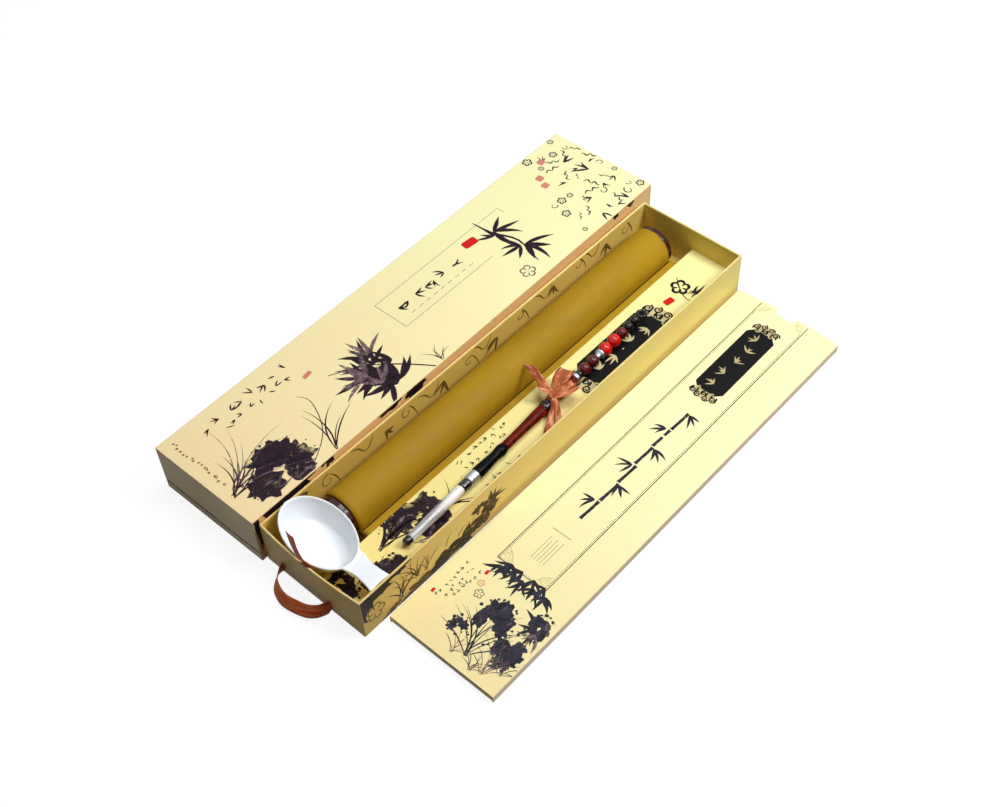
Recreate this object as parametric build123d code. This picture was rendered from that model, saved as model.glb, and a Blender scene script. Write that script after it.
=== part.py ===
"""Calligraphy practice set: tray with its contents, outer sleeve and a folder of cards.

Millimetres, +Z up. The origin is the centre of the tray's base, +Y runs to the tray's far
end and +X to the folder.
"""

import math
import os

from build123d import *

# Shared stock and fits
paper = 0.25  # printed wrap and lining
board = 1.5  # greyboard of the tray
glue = 0.02  # glue line between board and paper
trim = 0.3  # the wrap is cut off just above the base
rest = 0.3  # a loose piece above what carries it

# Tray
tray_length = 470.0
tray_width = 109.0
tray_height = 45.3
rim_bow = 3.0  # the near wall's rim is pushed out by the dish
wall = 2 * paper + board + 2 * glue
tray_near = -tray_length / 2
tray_right = tray_width / 2

# Platform, a folded card step along the right wall
platform_top = 22.5
platform_width = 49.4
platform_card = 1.2
platform_gap = 0.1
relief = 11.0  # the left leg stops short for the ribbon

# Pull ribbon
ribbon_thick = 0.5
ribbon_width = 11.0
ribbon_low = 2.6
slit_left = -34.5
slit_right = 18.5
slit_width = 3.0
slit_margin = 1.0
loop_reach = 20.6
tail_thick = 0.35
tail_half = 4.1

# Cloth roll
roll_radius = 20.3
roll_side_gap = 5.5
roll_near_gap = 55.5  # near wall to cloth
roll_far_gap = 21.92  # cloth to far wall
cloth_length = tray_length - 2 * wall - roll_near_gap - roll_far_gap
cap_radius = 19.3
cap_length = 6.0
cap_round = 1.6
cap_gap = 0.15
core_radius = 9.0
core_fit = 0.1
socket_depth = 4.0
hem_width = 8.6
hem_thick = 2.6
hem_drop = 2.4  # below the platform's top
hem_skin = 0.6
lath_fit = 0.05
hem_gap = 0.35

# Dish
dish_long = 38.3
dish_short = 25.3
dish_turn = -5.0
dish_tilt = 4.5
dish_depth = 22.8
dish_base = 0.63  # share of the rim's width left at the foot
dish_wall = 2.1
dish_side = -13.5
dish_inset = 24.3
rim_round = 0.6
handle_thick = 3.0
handle_reach = 65.6
handle_waist = 8.4
handle_flare = 10.3
handle_shift = 0.8
handle_round = 0.9

# Brush: stations along its axis, from the cap's tip
brush_x = 33.0
brush_near = 67.6
brush_turn = 2.15
tip_plug = 6.0
cap_start_radius = 3.6
cap_mouth_radius = 5.6
cap_wall = 0.6
cap_mouth = 84.0
cap_floor = 1.2
hair_start = 22.0
hair_radius = 3.8
hair_end = 66.0
navy_radius = 4.45
navy_length = 8.0
silver_radius = 4.7
silver_length = 10.1
joint_gap = 0.1
horn_radius = 5.0
horn_front = 5.3
horn_waist = 4.35
horn_length = 34.5
horn_bead = 29.6  # from the horn's front to its bead
handle_radius = 4.0
handle_end_radius = 4.9
handle_end = 209.0
ring_start = 168.0
ring_length = 7.0
ring_radius = 5.5
cord_radius = 0.9
bore_fit = 0.08
silver_bead = 4.0
silver_bead_radius = 4.7
spacer_length = 5.4
spacer_radius = 3.8
maroon_radius = 5.2
bell_length = 6.0
red_radius = 6.0
wine_radius = 5.0
black_radius = 4.4
bead_gap = 0.15
end_ring_radius = 3.6
end_ring_thick = 1.5

# Ribbon bow on the brush
knot_start = 176.0
knot_length = 9.0
knot_thick = 0.7
bow_thick = 0.6
bow_fit = 0.15
bow_unit = 1.0  # one unit of the bow's drawing
bow_clear = 90.0  # stretch of brush kept clear of the bow

# Sleeve and its end flap
sleeve_board = 1.7
slide_gap = 0.55
height_gap = 0.6
loop_room = 18.5
sleeve_turn = 0.606
sleeve_gap = 1.0
sleeve_near = -239.44
lip_height = 9.0
lip_slit = 1.4
hinge_gap = 0.3
tongue = 7.0
tongue_card = 0.6
tongue_side = 1.0

# Folder and cards
folder_width = 104.5
folder_length = 443.7
folder_height = 8.1
folder_card = 1.0
folder_turn = 0.18
folder_gap = 4.5
folder_near = -212.9
mouth_bulge = 3.4  # the top panel stands up in the middle of the open end
notch_width = 22.5
notch_depth = 7.0
end_card = 0.8
end_drop = 0.25
end_tongue = 14.0
end_round = 2.2
end_side = 0.1
strip_thick = 0.5
card_count = 6
card_thick = 0.75
card_gap = 0.1
card_side = 2.0  # card to the strip, and to the folder's other side
card_width = folder_width - 2 * folder_card - strip_thick - 2 * card_side
card_inset = 10.0
card_near = 5.7
card_length = folder_length - card_inset - card_near


def block(x0, x1, y0, y1, z0, z1):
    """Box between two corners."""
    return Pos((x0 + x1) / 2, (y0 + y1) / 2, (z0 + z1) / 2) * Box(x1 - x0, y1 - y0, z1 - z0)


def tray_hull(inset, z0, z1):
    """The tray's outline, inset on four sides, between two heights; its near side bows with z."""
    x = tray_width / 2 - inset
    y = tray_length / 2 - inset
    faces = []
    for z in (z0, z1):
        bow = 2 * rim_bow * z / tray_height
        near = Bezier((-x, -y, z), (0, -y - bow, z), (x, -y, z))
        rest_of_it = Polyline((x, -y, z), (x, y, z), (-x, y, z), (-x, -y, z))
        faces.append(make_face(near + rest_of_it))
    return loft(faces, ruled=True)


def strap(points, half, thick, wide):
    """Flat ribbon through the points, its width along the direction given."""
    points = [Vector(*p) for p in points]
    sections = []
    for i, p in enumerate(points):
        ahead = points[min(i + 1, len(points) - 1)] - points[max(i - 1, 0)]
        t = ahead.normalized()
        w = Vector(*wide)
        w = (w - t * w.dot(t)).normalized()
        n = t.cross(w)
        h = half[i] if isinstance(half, (list, tuple)) else half
        corners = [p + w * (a * h) + n * (b * thick / 2) for a, b in ((-1, -1), (1, -1), (1, 1), (-1, 1))]
        sections.append(Face(Wire.make_polygon(corners, close=True)))
    return loft(sections, ruled=True)


def turned(points):
    """Solid of revolution about Z from (radius, height) pairs."""
    return revolve(make_face(Polyline(*[(r, 0, z) for r, z in points], close=True)), Axis.Z)


nodes = {}

# Tray: board, wrap outside and over the rim, lining inside
slits = [
    block(
        x - slit_width / 2, x + slit_width / 2, tray_near - rim_bow - 1, tray_near + wall + 1,
        ribbon_low - slit_margin, ribbon_low + ribbon_width + slit_margin,
    )
    for x in (slit_left, slit_right)
]
skin = paper + glue
board_inner = skin + board
nodes["tray_wrap"] = (
    tray_hull(0, trim, tray_height)
    - tray_hull(paper, 0, tray_height - paper)
    - tray_hull(wall, tray_height - 2 * paper, tray_height + 1)
    - slits
)
nodes["tray_board"] = (
    tray_hull(skin, 0, tray_height - skin)
    - tray_hull(board_inner, board_inner, tray_height + 1)
    - slits
)
nodes["tray_lining"] = (
    tray_hull(board_inner + glue, board_inner + glue, tray_height - skin)
    - tray_hull(wall, wall, tray_height + 1)
    - slits
)

# Platform: a channel of card with its paper, standing on the tray's floor
step_right = tray_right - wall - platform_gap
step_left = step_right - platform_width
step_near = tray_near + wall + platform_gap
step_far = -tray_near - wall - platform_gap
leg_relief = block(step_left - 1, step_left + 8, step_near - 1, step_near + relief, 0, platform_top - 4)


def channel(inset, thick):
    """Upside-down trough of the platform."""
    outer = block(step_left + inset, step_right - inset, step_near, step_far, wall, platform_top - inset)
    inner = inset + thick
    hollow = block(
        step_left + inner, step_right - inner, step_near - 1, step_far + 1, 0, platform_top - inner
    )
    return outer - hollow - leg_relief


nodes["platform_wrap"] = channel(0, paper)
nodes["platform_board"] = channel(skin, platform_card)

# Pull ribbon: a loop on edge through the near wall, and a tail up over the rim
r_y = tray_near
run = Spline(
    (slit_left, r_y + wall, 0), (slit_left + 1.0, r_y - 6, 0), (slit_left + 8.2, r_y - 0.75 * loop_reach, 0),
    (slit_left + 22.4, r_y - loop_reach, 0), (slit_left + 39.9, r_y - 0.83 * loop_reach, 0),
    (slit_right - 4.5, r_y - 0.58 * loop_reach, 0), (slit_right - 0.6, r_y - 5.1, 0),
    (slit_right, r_y + wall, 0), tangents=((0, -1, 0), (0, 1, 0)),
)
inside = r_y + wall + 1.6
left_end = Spline((-18, inside, 0), (slit_left + 5, inside, 0), (slit_left, r_y + wall, 0),
                  tangents=((-1, 0, 0), (0, -1, 0)))
right_end = Spline((slit_right, r_y + wall, 0), (slit_right - 5, inside + 1.2, 0), (0, inside, 0),
                   tangents=((0, 1, 0), (-1, 0, 0)))
path = Wire([left_end.edge(), run.edge(), right_end.edge()])
ribbon_face = Face(
    Wire.make_polygon([
        (-18, inside - ribbon_thick / 2, ribbon_low), (-18, inside + ribbon_thick / 2, ribbon_low),
        (-18, inside + ribbon_thick / 2, ribbon_low + ribbon_width),
        (-18, inside - ribbon_thick / 2, ribbon_low + ribbon_width),
    ], close=True)
)
band = sweep(ribbon_face, path=Pos(0, 0, ribbon_low) * path, transition=Transition.RIGHT)
tail_x, tail_y = -tray_width / 2, tray_near
tail = strap(
    [
        (tail_x + x, tail_y + y, z)
        for x, y, z in (
            (51.0, 3.4, 5.0), (51.4, 3.0, 18.0), (54.6, 1.5, 32.0), (55.6, -0.1, 42.0), (54.8, -0.6, 46.0),
            (53.0, -1.6, 50.0), (50.4, -2.8, 54.5), (47.4, -3.0, 64.0), (45.2, -3.0, 79.0),
        )
    ],
    [tail_half, tail_half, tail_half, tail_half, tail_half, tail_half, tail_half, tail_half + 0.2,
     tail_half + 0.8],
    tail_thick, (1, 0, 0),
)
nodes["pull_ribbon"] = band + tail

# Cloth roll, its rod and caps, and the hem with its lath
roll_x = -tray_right + wall + roll_side_gap + roll_radius
roll_z = wall + rest + roll_radius
cloth_y0 = tray_near + roll_near_gap + wall
cloth_y1 = cloth_y0 + cloth_length


def lengthwise(shape, x, y, z):
    """Stands a turned piece along +Y with its start at the point."""
    return Pos(x, y, z) * Rot(-90, 0, 0) * shape


nodes["cloth_roll"] = lengthwise(
    turned([
        (core_radius + core_fit, 0), (roll_radius, 0), (roll_radius, cloth_length),
        (core_radius + core_fit, cloth_length),
    ]), roll_x, cloth_y0, roll_z)
rod_reach = socket_depth - core_fit
nodes["roll_core"] = lengthwise(
    Pos(0, 0, (cloth_length) / 2) * Cylinder(core_radius, cloth_length + 2 * (rod_reach + cap_gap)),
    roll_x, cloth_y0, roll_z)
cap = fillet(
    Cylinder(cap_radius, cap_length).edges().filter_by(GeomType.CIRCLE), cap_round
)
socket = Pos(0, 0, cap_length / 2) * Cylinder(core_radius + core_fit, 2 * socket_depth)
cap = Pos(0, 0, -cap_length / 2) * (cap - socket)
nodes["roll_cap_near"] = lengthwise(cap, roll_x, cloth_y0 - cap_gap, roll_z)
nodes["roll_cap_far"] = lengthwise(Rot(180, 0, 0) * cap, roll_x, cloth_y1 + cap_gap, roll_z)

hem_right = step_left - hem_gap
hem_top = platform_top - hem_drop
hem = block(hem_right - hem_width, hem_right, cloth_y0, cloth_y1, hem_top - hem_thick, hem_top)
hem = fillet(hem.edges().filter_by(Axis.Y), hem_thick * 0.4)
lath = block(
    hem_right - hem_width + hem_skin, hem_right - hem_skin, cloth_y0, cloth_y1,
    hem_top - hem_thick + hem_skin, hem_top - hem_skin,
)
pocket = block(
    hem_right - hem_width + hem_skin - lath_fit, hem_right - hem_skin + lath_fit, cloth_y0 - 1, cloth_y1 + 1,
    hem_top - hem_thick + hem_skin - lath_fit, hem_top - hem_skin + lath_fit,
)
nodes["cloth_hem"] = hem - pocket
nodes["hem_lath"] = lath

# Dish: an oval bowl with a fishtail handle, tilted toward the platform
tilt = math.radians(dish_tilt)
dish_z = platform_top + rest + dish_base * dish_long * math.sin(tilt) + dish_depth * math.cos(tilt)


def bowl(inset, depth):
    """Stack of ovals from the foot to the rim, drawn in by a wall."""
    faces = []
    for drop in (1.0, 0.96, 0.8, 0.55, 0.27, 0.0):
        share = dish_base + (1 - dish_base) * (1 - drop) ** 0.8
        faces.append(
            Pos(0, 0, -depth * drop) * Rot(0, 0, dish_turn)
            * make_face(Ellipse(dish_long * share - inset, dish_short * share - inset))
        )
    return loft(faces)


outer = bowl(0, dish_depth)
inner = bowl(dish_wall, dish_depth - dish_wall)
cup = outer - inner
rims = [e for e in cup.edges() if abs(e.center().Z) < 1e-3 and abs(e.bounding_box().size.Z) < 1e-3]
cup = fillet(rims, rim_round)
waist = dish_long + 7
hy = handle_shift
side = [
    Spline((dish_long - 9, hy + s * 12.5), (dish_long + 1, hy + s * 9.8), (waist, hy + s * handle_waist),
           (handle_reach - 6, hy + s * (handle_waist + 0.7)), (handle_reach, hy + s * handle_flare))
    for s in (1, -1)
]
tip = ThreePointArc((handle_reach, hy + handle_flare), (handle_reach - 1.6, hy),
                    (handle_reach, hy - handle_flare))
root = Line((dish_long - 9, hy + 12.5), (dish_long - 9, hy - 12.5))
handle = extrude(make_face(side[0] + tip + side[1] + root), amount=handle_thick)
handle = fillet(handle.edges().filter_by(GeomType.LINE, reverse=True), handle_round)
handle = Pos(0, 0, -handle_thick - 0.2) * handle
dish_at = Pos(dish_side, tray_near + dish_inset, dish_z) * Rot(0, dish_tilt, 0)
above_rim = Pos(0, 0, dish_depth) * Box(4 * dish_long, 4 * dish_long, 2 * dish_depth)
grip = handle - bowl(0.4, dish_depth) - above_rim
nodes["dish"] = dish_at * (cup + grip)

# Brush: turned pieces along one axis that lies on the cap's mouth and on a red bead
navy_end = hair_end + navy_length
silver_end = navy_end + silver_length + joint_gap
horn_start = silver_end + joint_gap
bead_station = horn_start + horn_bead
horn_end = horn_start + horn_length
ring_end = ring_start + ring_length
station = {}
s = handle_end + bead_gap
for name, length in (
    ("silver", silver_bead), ("spacer", spacer_length), ("maroon_1", 2 * maroon_radius),
    ("maroon_2", 2 * maroon_radius), ("bell", bell_length), ("red_1", 2 * red_radius),
    ("red_2", 2 * red_radius), ("wine", 2 * wine_radius), ("black_1", 2 * black_radius),
    ("black_2", 2 * black_radius),
):
    station[name] = s
    s += length + bead_gap
bead_end = s
low_bead = station["red_2"] + red_radius
dip = math.asin((cap_mouth_radius - red_radius) / (low_bead - cap_mouth))
yaw = math.radians(brush_turn)
axis = Vector(-math.sin(yaw) * math.cos(dip), math.cos(yaw) * math.cos(dip), -math.sin(dip))
tip_z = platform_top + rest + cap_mouth_radius + cap_mouth * math.sin(dip)
tip_point = Vector(brush_x, tray_near + brush_near, tip_z)
brush_at = Plane(origin=tip_point, x_dir=(math.cos(yaw), math.sin(yaw), 0), z_dir=axis).location

cone = (cap_mouth_radius - cap_start_radius) / (cap_mouth - tip_plug)


def cap_r(at):
    """The clear cap's outer radius at a station."""
    return cap_start_radius + cone * (at - tip_plug)


plug_top = tip_plug + cap_floor
parts_on_axis = {
    "cap_plug": turned([
        (0, 0), (cap_start_radius - 1.0, 0), (cap_start_radius - 0.2, 1.2), (cap_start_radius, tip_plug), (0, tip_plug),
    ]),
    "cap_cone": turned([
        (0, tip_plug), (cap_start_radius, tip_plug), (cap_r(cap_mouth), cap_mouth),
        (cap_r(cap_mouth) - cap_wall, cap_mouth), (cap_r(plug_top) - cap_wall, plug_top), (0, plug_top),
    ]),
    "brush_bristles": revolve(
        make_face(
            Line((0, 0, hair_start), (0, 0, hair_end)) + Line((0, 0, hair_end), (hair_radius * 0.93, 0, hair_end))
            + Spline((hair_radius * 0.93, 0, hair_end), (hair_radius, 0, hair_end - 14),
                     (hair_radius * 0.78, 0, hair_start + 14), (hair_radius * 0.3, 0, hair_start + 4),
                     (0, 0, hair_start))
        ), Axis.Z),
    "ferrule_navy": turned([
        (0, hair_end), (navy_radius - 0.3, hair_end), (navy_radius, hair_end + 1), (navy_radius, navy_end - 1),
        (navy_radius - 0.3, navy_end), (0, navy_end),
    ]),
    "ferrule_silver": turned([
        (0, navy_end + joint_gap), (silver_radius - 0.5, navy_end + joint_gap), (silver_radius, navy_end + 1),
        (silver_radius, silver_end), (0, silver_end),
    ]),
    "horn_socket": turned([
        (0, horn_start), (horn_front - 0.2, horn_start), (horn_front, horn_start + 1), (horn_front, horn_start + 4),
        (horn_front - 0.3, horn_start + 9), (horn_waist, bead_station - 8), (horn_waist, bead_station - 5),
        (horn_radius - 0.4, bead_station - 3), (horn_radius, bead_station - 1), (horn_radius, bead_station + 1),
        (horn_radius - 0.5, bead_station + 3), (handle_radius + 0.2, horn_end), (0, horn_end),
    ]),
    "handle_ring": turned([
        (handle_end_radius + bore_fit, ring_start), (ring_radius - 0.4, ring_start),
        (ring_radius, ring_start + 1.5), (ring_radius, ring_end - 1.5), (ring_radius - 0.4, ring_end),
        (handle_end_radius + bore_fit, ring_end),
    ]),
}
handle_start = horn_end + joint_gap
grip_shape = turned([
    (0, handle_start), (handle_radius - 0.2, handle_start), (handle_radius, handle_start + 4),
    (handle_radius, handle_start + 22), (handle_end_radius, ring_start - 6), (handle_end_radius, handle_end - 2),
    (handle_end_radius - 0.6, handle_end), (0, handle_end),
])
cord_end = bead_end + end_ring_thick
cord_start = handle_end - 8
cord_hole = Pos(0, 0, (cord_start + handle_end) / 2) * Cylinder(cord_radius + bore_fit, handle_end - cord_start)
parts_on_axis["brush_handle"] = grip_shape - cord_hole
tail_cord = Pos(0, 0, (cord_start + bore_fit + cord_end) / 2) * Cylinder(
    cord_radius, cord_end - cord_start - bore_fit)
parts_on_axis["tail_cord"] = tail_cord


def bead(name, radius):
    """Ball with a bore for the cord."""
    at = station[name] + radius
    return Pos(0, 0, at) * (Sphere(radius) - Cylinder(cord_radius + bore_fit, 4 * radius))


bore = cord_radius + bore_fit
s0, sp, be = station["silver"], station["spacer"], station["bell"]
parts_on_axis["tail_ring"] = turned([
    (bore, s0), (silver_bead_radius - 0.6, s0), (silver_bead_radius, s0 + 1), (silver_bead_radius, s0 + 3),
    (silver_bead_radius - 0.6, s0 + silver_bead), (bore, s0 + silver_bead),
])
parts_on_axis["bead_spacer"] = turned([
    (bore, sp), (spacer_radius - 0.8, sp), (spacer_radius, sp + spacer_length / 2),
    (spacer_radius - 0.8, sp + spacer_length), (bore, sp + spacer_length),
])
parts_on_axis["tail_bell"] = turned([
    (bore, be), (2.6, be), (3.0, be + 2), (silver_bead_radius, be + bell_length - 1.4),
    (silver_bead_radius, be + bell_length), (bore, be + bell_length),
])
for name, radius in (
    ("maroon_1", maroon_radius), ("maroon_2", maroon_radius), ("red_1", red_radius), ("red_2", red_radius),
    ("wine", wine_radius), ("black_1", black_radius), ("black_2", black_radius),
):
    parts_on_axis["bead_" + name] = bead(name, radius)
ring_at = bead_end + end_ring_radius + end_ring_thick
end_ring = Pos(0, 0, ring_at) * Rot(90, 0, 0) * Torus(end_ring_radius, end_ring_thick)
parts_on_axis["end_ring"] = end_ring - Pos(0, 0, bead_end) * Cylinder(bore, 2 * end_ring_thick + 2 * bore_fit)
for name, shape in parts_on_axis.items():
    nodes[name] = brush_at * shape

# Bow: knot round the handle, two loops and four tails
knot_r = handle_end_radius + bow_fit
kz = knot_start + knot_length / 2
collar = turned([
    (knot_r, knot_start), (knot_r + knot_thick / 2, knot_start), (knot_r + knot_thick, kz - 1.5),
    (knot_r + knot_thick, kz + 1.5), (knot_r + knot_thick / 2, knot_start + knot_length),
    (knot_r, knot_start + knot_length),
])
lump = Pos(0, -knot_r - 1.2, kz) * Sphere(4.4)
knot = brush_at * (collar + lump)
k = (brush_at * Pos(0, -knot_r - 1.6, kz)).position


def from_knot(points):
    """Offsets from the knot's middle as points of the part."""
    return [(k.X + x * bow_unit, k.Y + y * bow_unit, k.Z + z * bow_unit) for x, y, z in points]


loops = [
    ([(0, 0, 0), (-1.2, 4, 2.8), (-3.4, 11.5, 4.6), (-5.2, 19.5, 4.4), (-7.2, 26.6, 2.2)],
     [1.8, 3.8, 6.2, 7.2, 6.4], (0.97, 0.2, 0)),
    ([(-7.2, 26.8, 2.6), (-7.3, 27.6, 1.0), (-6.6, 25, -0.2), (-4.4, 15, 0.4), (-1.8, 6, 0.2), (0, 0, -1)],
     [6.4, 6.4, 6.2, 5.2, 3.2, 1.8], (0.97, 0.2, 0)),
    ([(1, -0.5, 0), (3.6, 2.2, 2.0), (6.0, 7.5, 3.0), (6.9, 13.5, 2.4), (6.6, 19.6, 0.8)],
     [1.8, 4.0, 5.6, 5.8, 5.0], (0.93, -0.1, -0.35)),
    ([(6.6, 19.8, 1.2), (6.6, 20.4, -0.2), (6.4, 17.6, -1.0), (5.2, 10.5, -0.4), (3, 4, -0.2), (1, 0, -1)],
     [5.0, 5.0, 4.8, 4.4, 3.0, 1.8], (0.93, -0.1, -0.35)),
]
tails = [
    ([(0, 0, 0.2), (-6, 0.6, 3.2), (-14.3, 1.6, 6.2), (-25.6, 5.4, 6.8), (-33, 7.4, 4.6), (-38.0, 9.0, 2.4)],
     [2.0, 3.0, 3.6, 3.4, 2.2, 0.4], (0.2, 1, 0)),
    ([(0, 0, -0.4), (-5, -1.8, 2.6), (-10.4, -2.6, 4.2), (-14.4, -2.4, 4.2)], [1.8, 2.2, 2.2, 0.8], (0.1, 1, 0)),
    ([(0.5, -1, 0), (5.8, -2.8, -1.4), (11.2, -7, -6), (15.2, -10.8, -9.2), (18.8, -16, -10.0),
      (20.6, -20.4, -10.2)], [1.8, 2.6, 3.0, 3.0, 2.8, 1.4], (0.7, 0.7, 0)),
    ([(0, -1.5, 0), (5.2, -5, -2), (7.6, -9.5, -6.5), (10.4, -14.9, -9.0), (15.9, -25, -10.0),
      (18.0, -31.6, -10.2)], [1.8, 2.4, 2.6, 2.8, 2.8, 1.4], (1, 0.5, 0)),
]
straps = [
    strap(from_knot(points), [h * bow_unit for h in half], bow_thick, wide) for points, half, wide in loops + tails
]
bow = knot
for piece in straps:
    bow = bow + piece
past_bow = Pos(0, 0, kz) * Cylinder(ring_radius + bow_fit, bow_clear)
at_knot = Pos(0, 0, kz) * Cylinder(ring_radius + 5, knot_length)
bow = bow - brush_at * (past_bow - at_knot) - brush_at * Pos(0, 0, kz) * Cylinder(knot_r, bow_clear)
nodes["bow_ribbon"] = bow

# Sleeve: tube with a low lip at the near end, a far panel and a hinged end flap
s_wall = paper + glue + sleeve_board
s_width = tray_width + 2 * slide_gap + 2 * s_wall
s_height = tray_height + 2 * height_gap + 2 * s_wall
s_length = tray_length + loop_room + 2 * s_wall + hinge_gap
sleeve_at = Location((-tray_right - sleeve_gap, sleeve_near, 0), (0, 0, sleeve_turn))
front = s_wall + hinge_gap
mouth = block(-s_width - 1, 1, -1, front, lip_height, s_height + 1)
tube = block(-s_width + skin, -skin, skin, s_length - skin, 0, s_height - skin)
cavity = block(-s_width + s_wall, -s_wall, s_wall, s_length, s_wall, s_height - s_wall)
nodes["sleeve_board"] = sleeve_at * (tube - cavity - mouth)
nodes["sleeve_end"] = sleeve_at * block(
    -s_width + s_wall, -s_wall, s_length - s_wall, s_length - skin, s_wall, s_height - s_wall)
nodes["sleeve_wrap"] = sleeve_at * (
    block(-s_width, 0, 0, s_length, trim, s_height)
    - block(-s_width + paper, -paper, paper, s_length - paper, 0, s_height - paper) - mouth
)
flap_low = lip_height + lip_slit
nodes["flap_board"] = sleeve_at * (
    block(-s_width + skin, -skin, skin, s_wall, flap_low, s_height - skin)
    + block(-s_width + s_wall + tongue_side, -s_wall - tongue_side, s_wall - 0.1, s_wall + tongue,
            flap_low, flap_low + tongue_card)
)
nodes["flap_wrap"] = sleeve_at * (
    block(-s_width, 0, 0, s_wall, flap_low, s_height)
    - block(-s_width + paper, -paper, paper, s_wall + 1, flap_low - 1, s_height - paper)
)

# Folder: a card tube with a thumb notch, its glued strip, folded near end, and the cards
folder_at = Location((tray_right + folder_gap, folder_near, 0), (0, 0, folder_turn))
fc = folder_card


def folder_hull(inset, past):
    """The folder's outline, inset by a wall, its top rising to the bulge at the open end."""
    faces = []
    for share, rise in ((0, 0), (0.6, 0.2), (1, 1)):
        y = folder_length * share + past * (share == 1) - past * (share == 0)
        x0, x1, z0, z1 = inset, folder_width - inset, inset, folder_height - inset
        top = Bezier((x1, y, z1), (folder_width / 2, y, z1 + 2 * mouth_bulge * rise), (x0, y, z1))
        faces.append(make_face(top + Polyline((x0, y, z1), (x0, y, z0), (x1, y, z0), (x1, y, z1))))
    return loft(faces, ruled=True)


folder = folder_hull(0, 0) - folder_hull(fc, 1.0)
folder = folder - block(fc, folder_width - fc, -1, end_tongue + end_drop, -1, fc + 0.1)
notch = Pos(folder_width / 2, folder_length, 0) * extrude(
    Ellipse(notch_width / 2, notch_depth), amount=3 * folder_height, both=True)
nodes["folder_tube"] = folder_at * (folder - notch)
nodes["folder_strip"] = folder_at * block(
    fc, fc + strip_thick, end_tongue + 1, folder_length - 1, fc, folder_height - fc)
end_top = folder_height - fc - end_drop
end_x0, end_x1 = fc + end_side, folder_width - fc - end_side
end_solid = block(end_x0, end_x1, 0, end_tongue, 0, end_top)
near_edges = [
    e for e in end_solid.edges().filter_by(Axis.X) if abs(e.center().Y) < 1e-6
]
end_solid = fillet(near_edges, end_round)
end_hollow = block(end_x0 - 1, end_x1 + 1, end_card, end_tongue + 1, end_card, end_top - end_card * 0.75)
nodes["folder_end_flap"] = folder_at * (end_solid - end_hollow)
card_x = fc + strip_thick + card_side
card_y1 = folder_length - card_inset
for i in range(card_count):
    z = fc + card_gap + i * (card_thick + card_gap)
    nodes["practice_card_%d" % (i + 1)] = folder_at * block(
        card_x, card_x + card_width, card_y1 - card_length, card_y1, z, z + card_thick)

os.makedirs("parts", exist_ok=True)
for name, shape in nodes.items():
    export_step(shape, "parts/%s.step" % name)
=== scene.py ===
"""Calligraphy set box: a paper-covered tray with its contents, its sleeve, and a folder of practice cards."""

import random
from math import asin, atan2, copysign, cos, dist, hypot, pi, radians, sin, sqrt

import bmesh
import bpy
from bpy.props import FloatProperty, FloatVectorProperty, IntProperty, PointerProperty
from mathutils import Matrix, Vector, noise


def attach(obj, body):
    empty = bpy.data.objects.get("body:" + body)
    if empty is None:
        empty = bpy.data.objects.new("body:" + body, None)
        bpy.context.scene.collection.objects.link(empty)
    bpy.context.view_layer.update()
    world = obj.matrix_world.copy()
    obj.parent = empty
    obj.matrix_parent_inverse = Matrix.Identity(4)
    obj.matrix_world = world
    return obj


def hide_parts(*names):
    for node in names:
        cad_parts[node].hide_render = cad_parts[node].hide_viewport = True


bl_info = {
    "name": "Calligraphy set box",
    "version": (1, 0, 0),
    "blender": (4, 5, 0),
    "location": "View3D > Sidebar > Set box",
    "description": "Builds the tray, sleeve, folder, brush, dish and cloth of a calligraphy set",
    "category": "Object",
}

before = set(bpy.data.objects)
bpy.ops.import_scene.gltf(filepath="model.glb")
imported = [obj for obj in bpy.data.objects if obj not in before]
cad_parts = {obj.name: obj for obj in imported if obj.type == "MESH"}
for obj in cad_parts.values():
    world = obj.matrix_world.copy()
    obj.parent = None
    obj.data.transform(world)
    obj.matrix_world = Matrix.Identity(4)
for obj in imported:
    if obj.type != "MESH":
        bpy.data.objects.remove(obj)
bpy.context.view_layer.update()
MM = 0.001


# --- mesh helpers

def smooth_line(points, per):
    """Points on a smooth line through the given ones; extra numbers, such as a width, are carried along."""
    n = len(points)
    made = []
    for i in range(n - 1):
        a, b, c, d = (points[max(0, min(n - 1, k))] for k in (i - 1, i, i + 1, i + 2))
        for k in range(per):
            t = k / per
            made.append(tuple(0.5 * (2 * q + (r - p) * t + (2 * p - 5 * q + 4 * r - s) * t * t
                                     + (3 * q - p - 3 * r + s) * t ** 3) for p, q, r, s in zip(a, b, c, d)))
    made.append(tuple(points[-1]))
    return made


def surface(bm, us, vs, point):
    """Grid over the listed parameters, placed by the function; returns its vertices by row."""
    made = bmesh.ops.create_grid(bm, x_segments=len(us) - 1, y_segments=len(vs) - 1, size=1)["verts"]
    rows = [[None] * len(us) for _ in vs]
    for v in made:
        i = round((v.co.x + 1) / 2 * (len(us) - 1))
        j = round((v.co.y + 1) / 2 * (len(vs) - 1))
        rows[j][i] = v
    for j, row in enumerate(rows):
        for i, v in enumerate(row):
            v.co = Vector(point(us[i], vs[j])) * MM
    return rows


def steps(a, b, n):
    return [a + (b - a) * i / n for i in range(n + 1)]


def merge(bm):
    bmesh.ops.remove_doubles(bm, verts=bm.verts, dist=0.001 * MM)
    bmesh.ops.recalc_face_normals(bm, faces=bm.faces)


def mm(values):
    return [v / MM for v in values]


def slice_at(bm, at, normal, clear_outer=False):
    """Cuts the mesh by the plane through a point in mm."""
    bmesh.ops.bisect_plane(
        bm, geom=bm.verts[:] + bm.edges[:] + bm.faces[:],
        plane_co=[v * MM for v in at], plane_no=normal, clear_outer=clear_outer)


def drop_faces(bm, test):
    """Removes the faces whose middle in mm passes the test."""
    doomed = [f for f in bm.faces if test(f.calc_center_median() / MM)]
    bmesh.ops.delete(bm, geom=doomed, context="FACES")


def face_up(bm):
    for f in bm.faces:
        if f.normal.z < -0.5:
            f.normal_flip()


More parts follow.
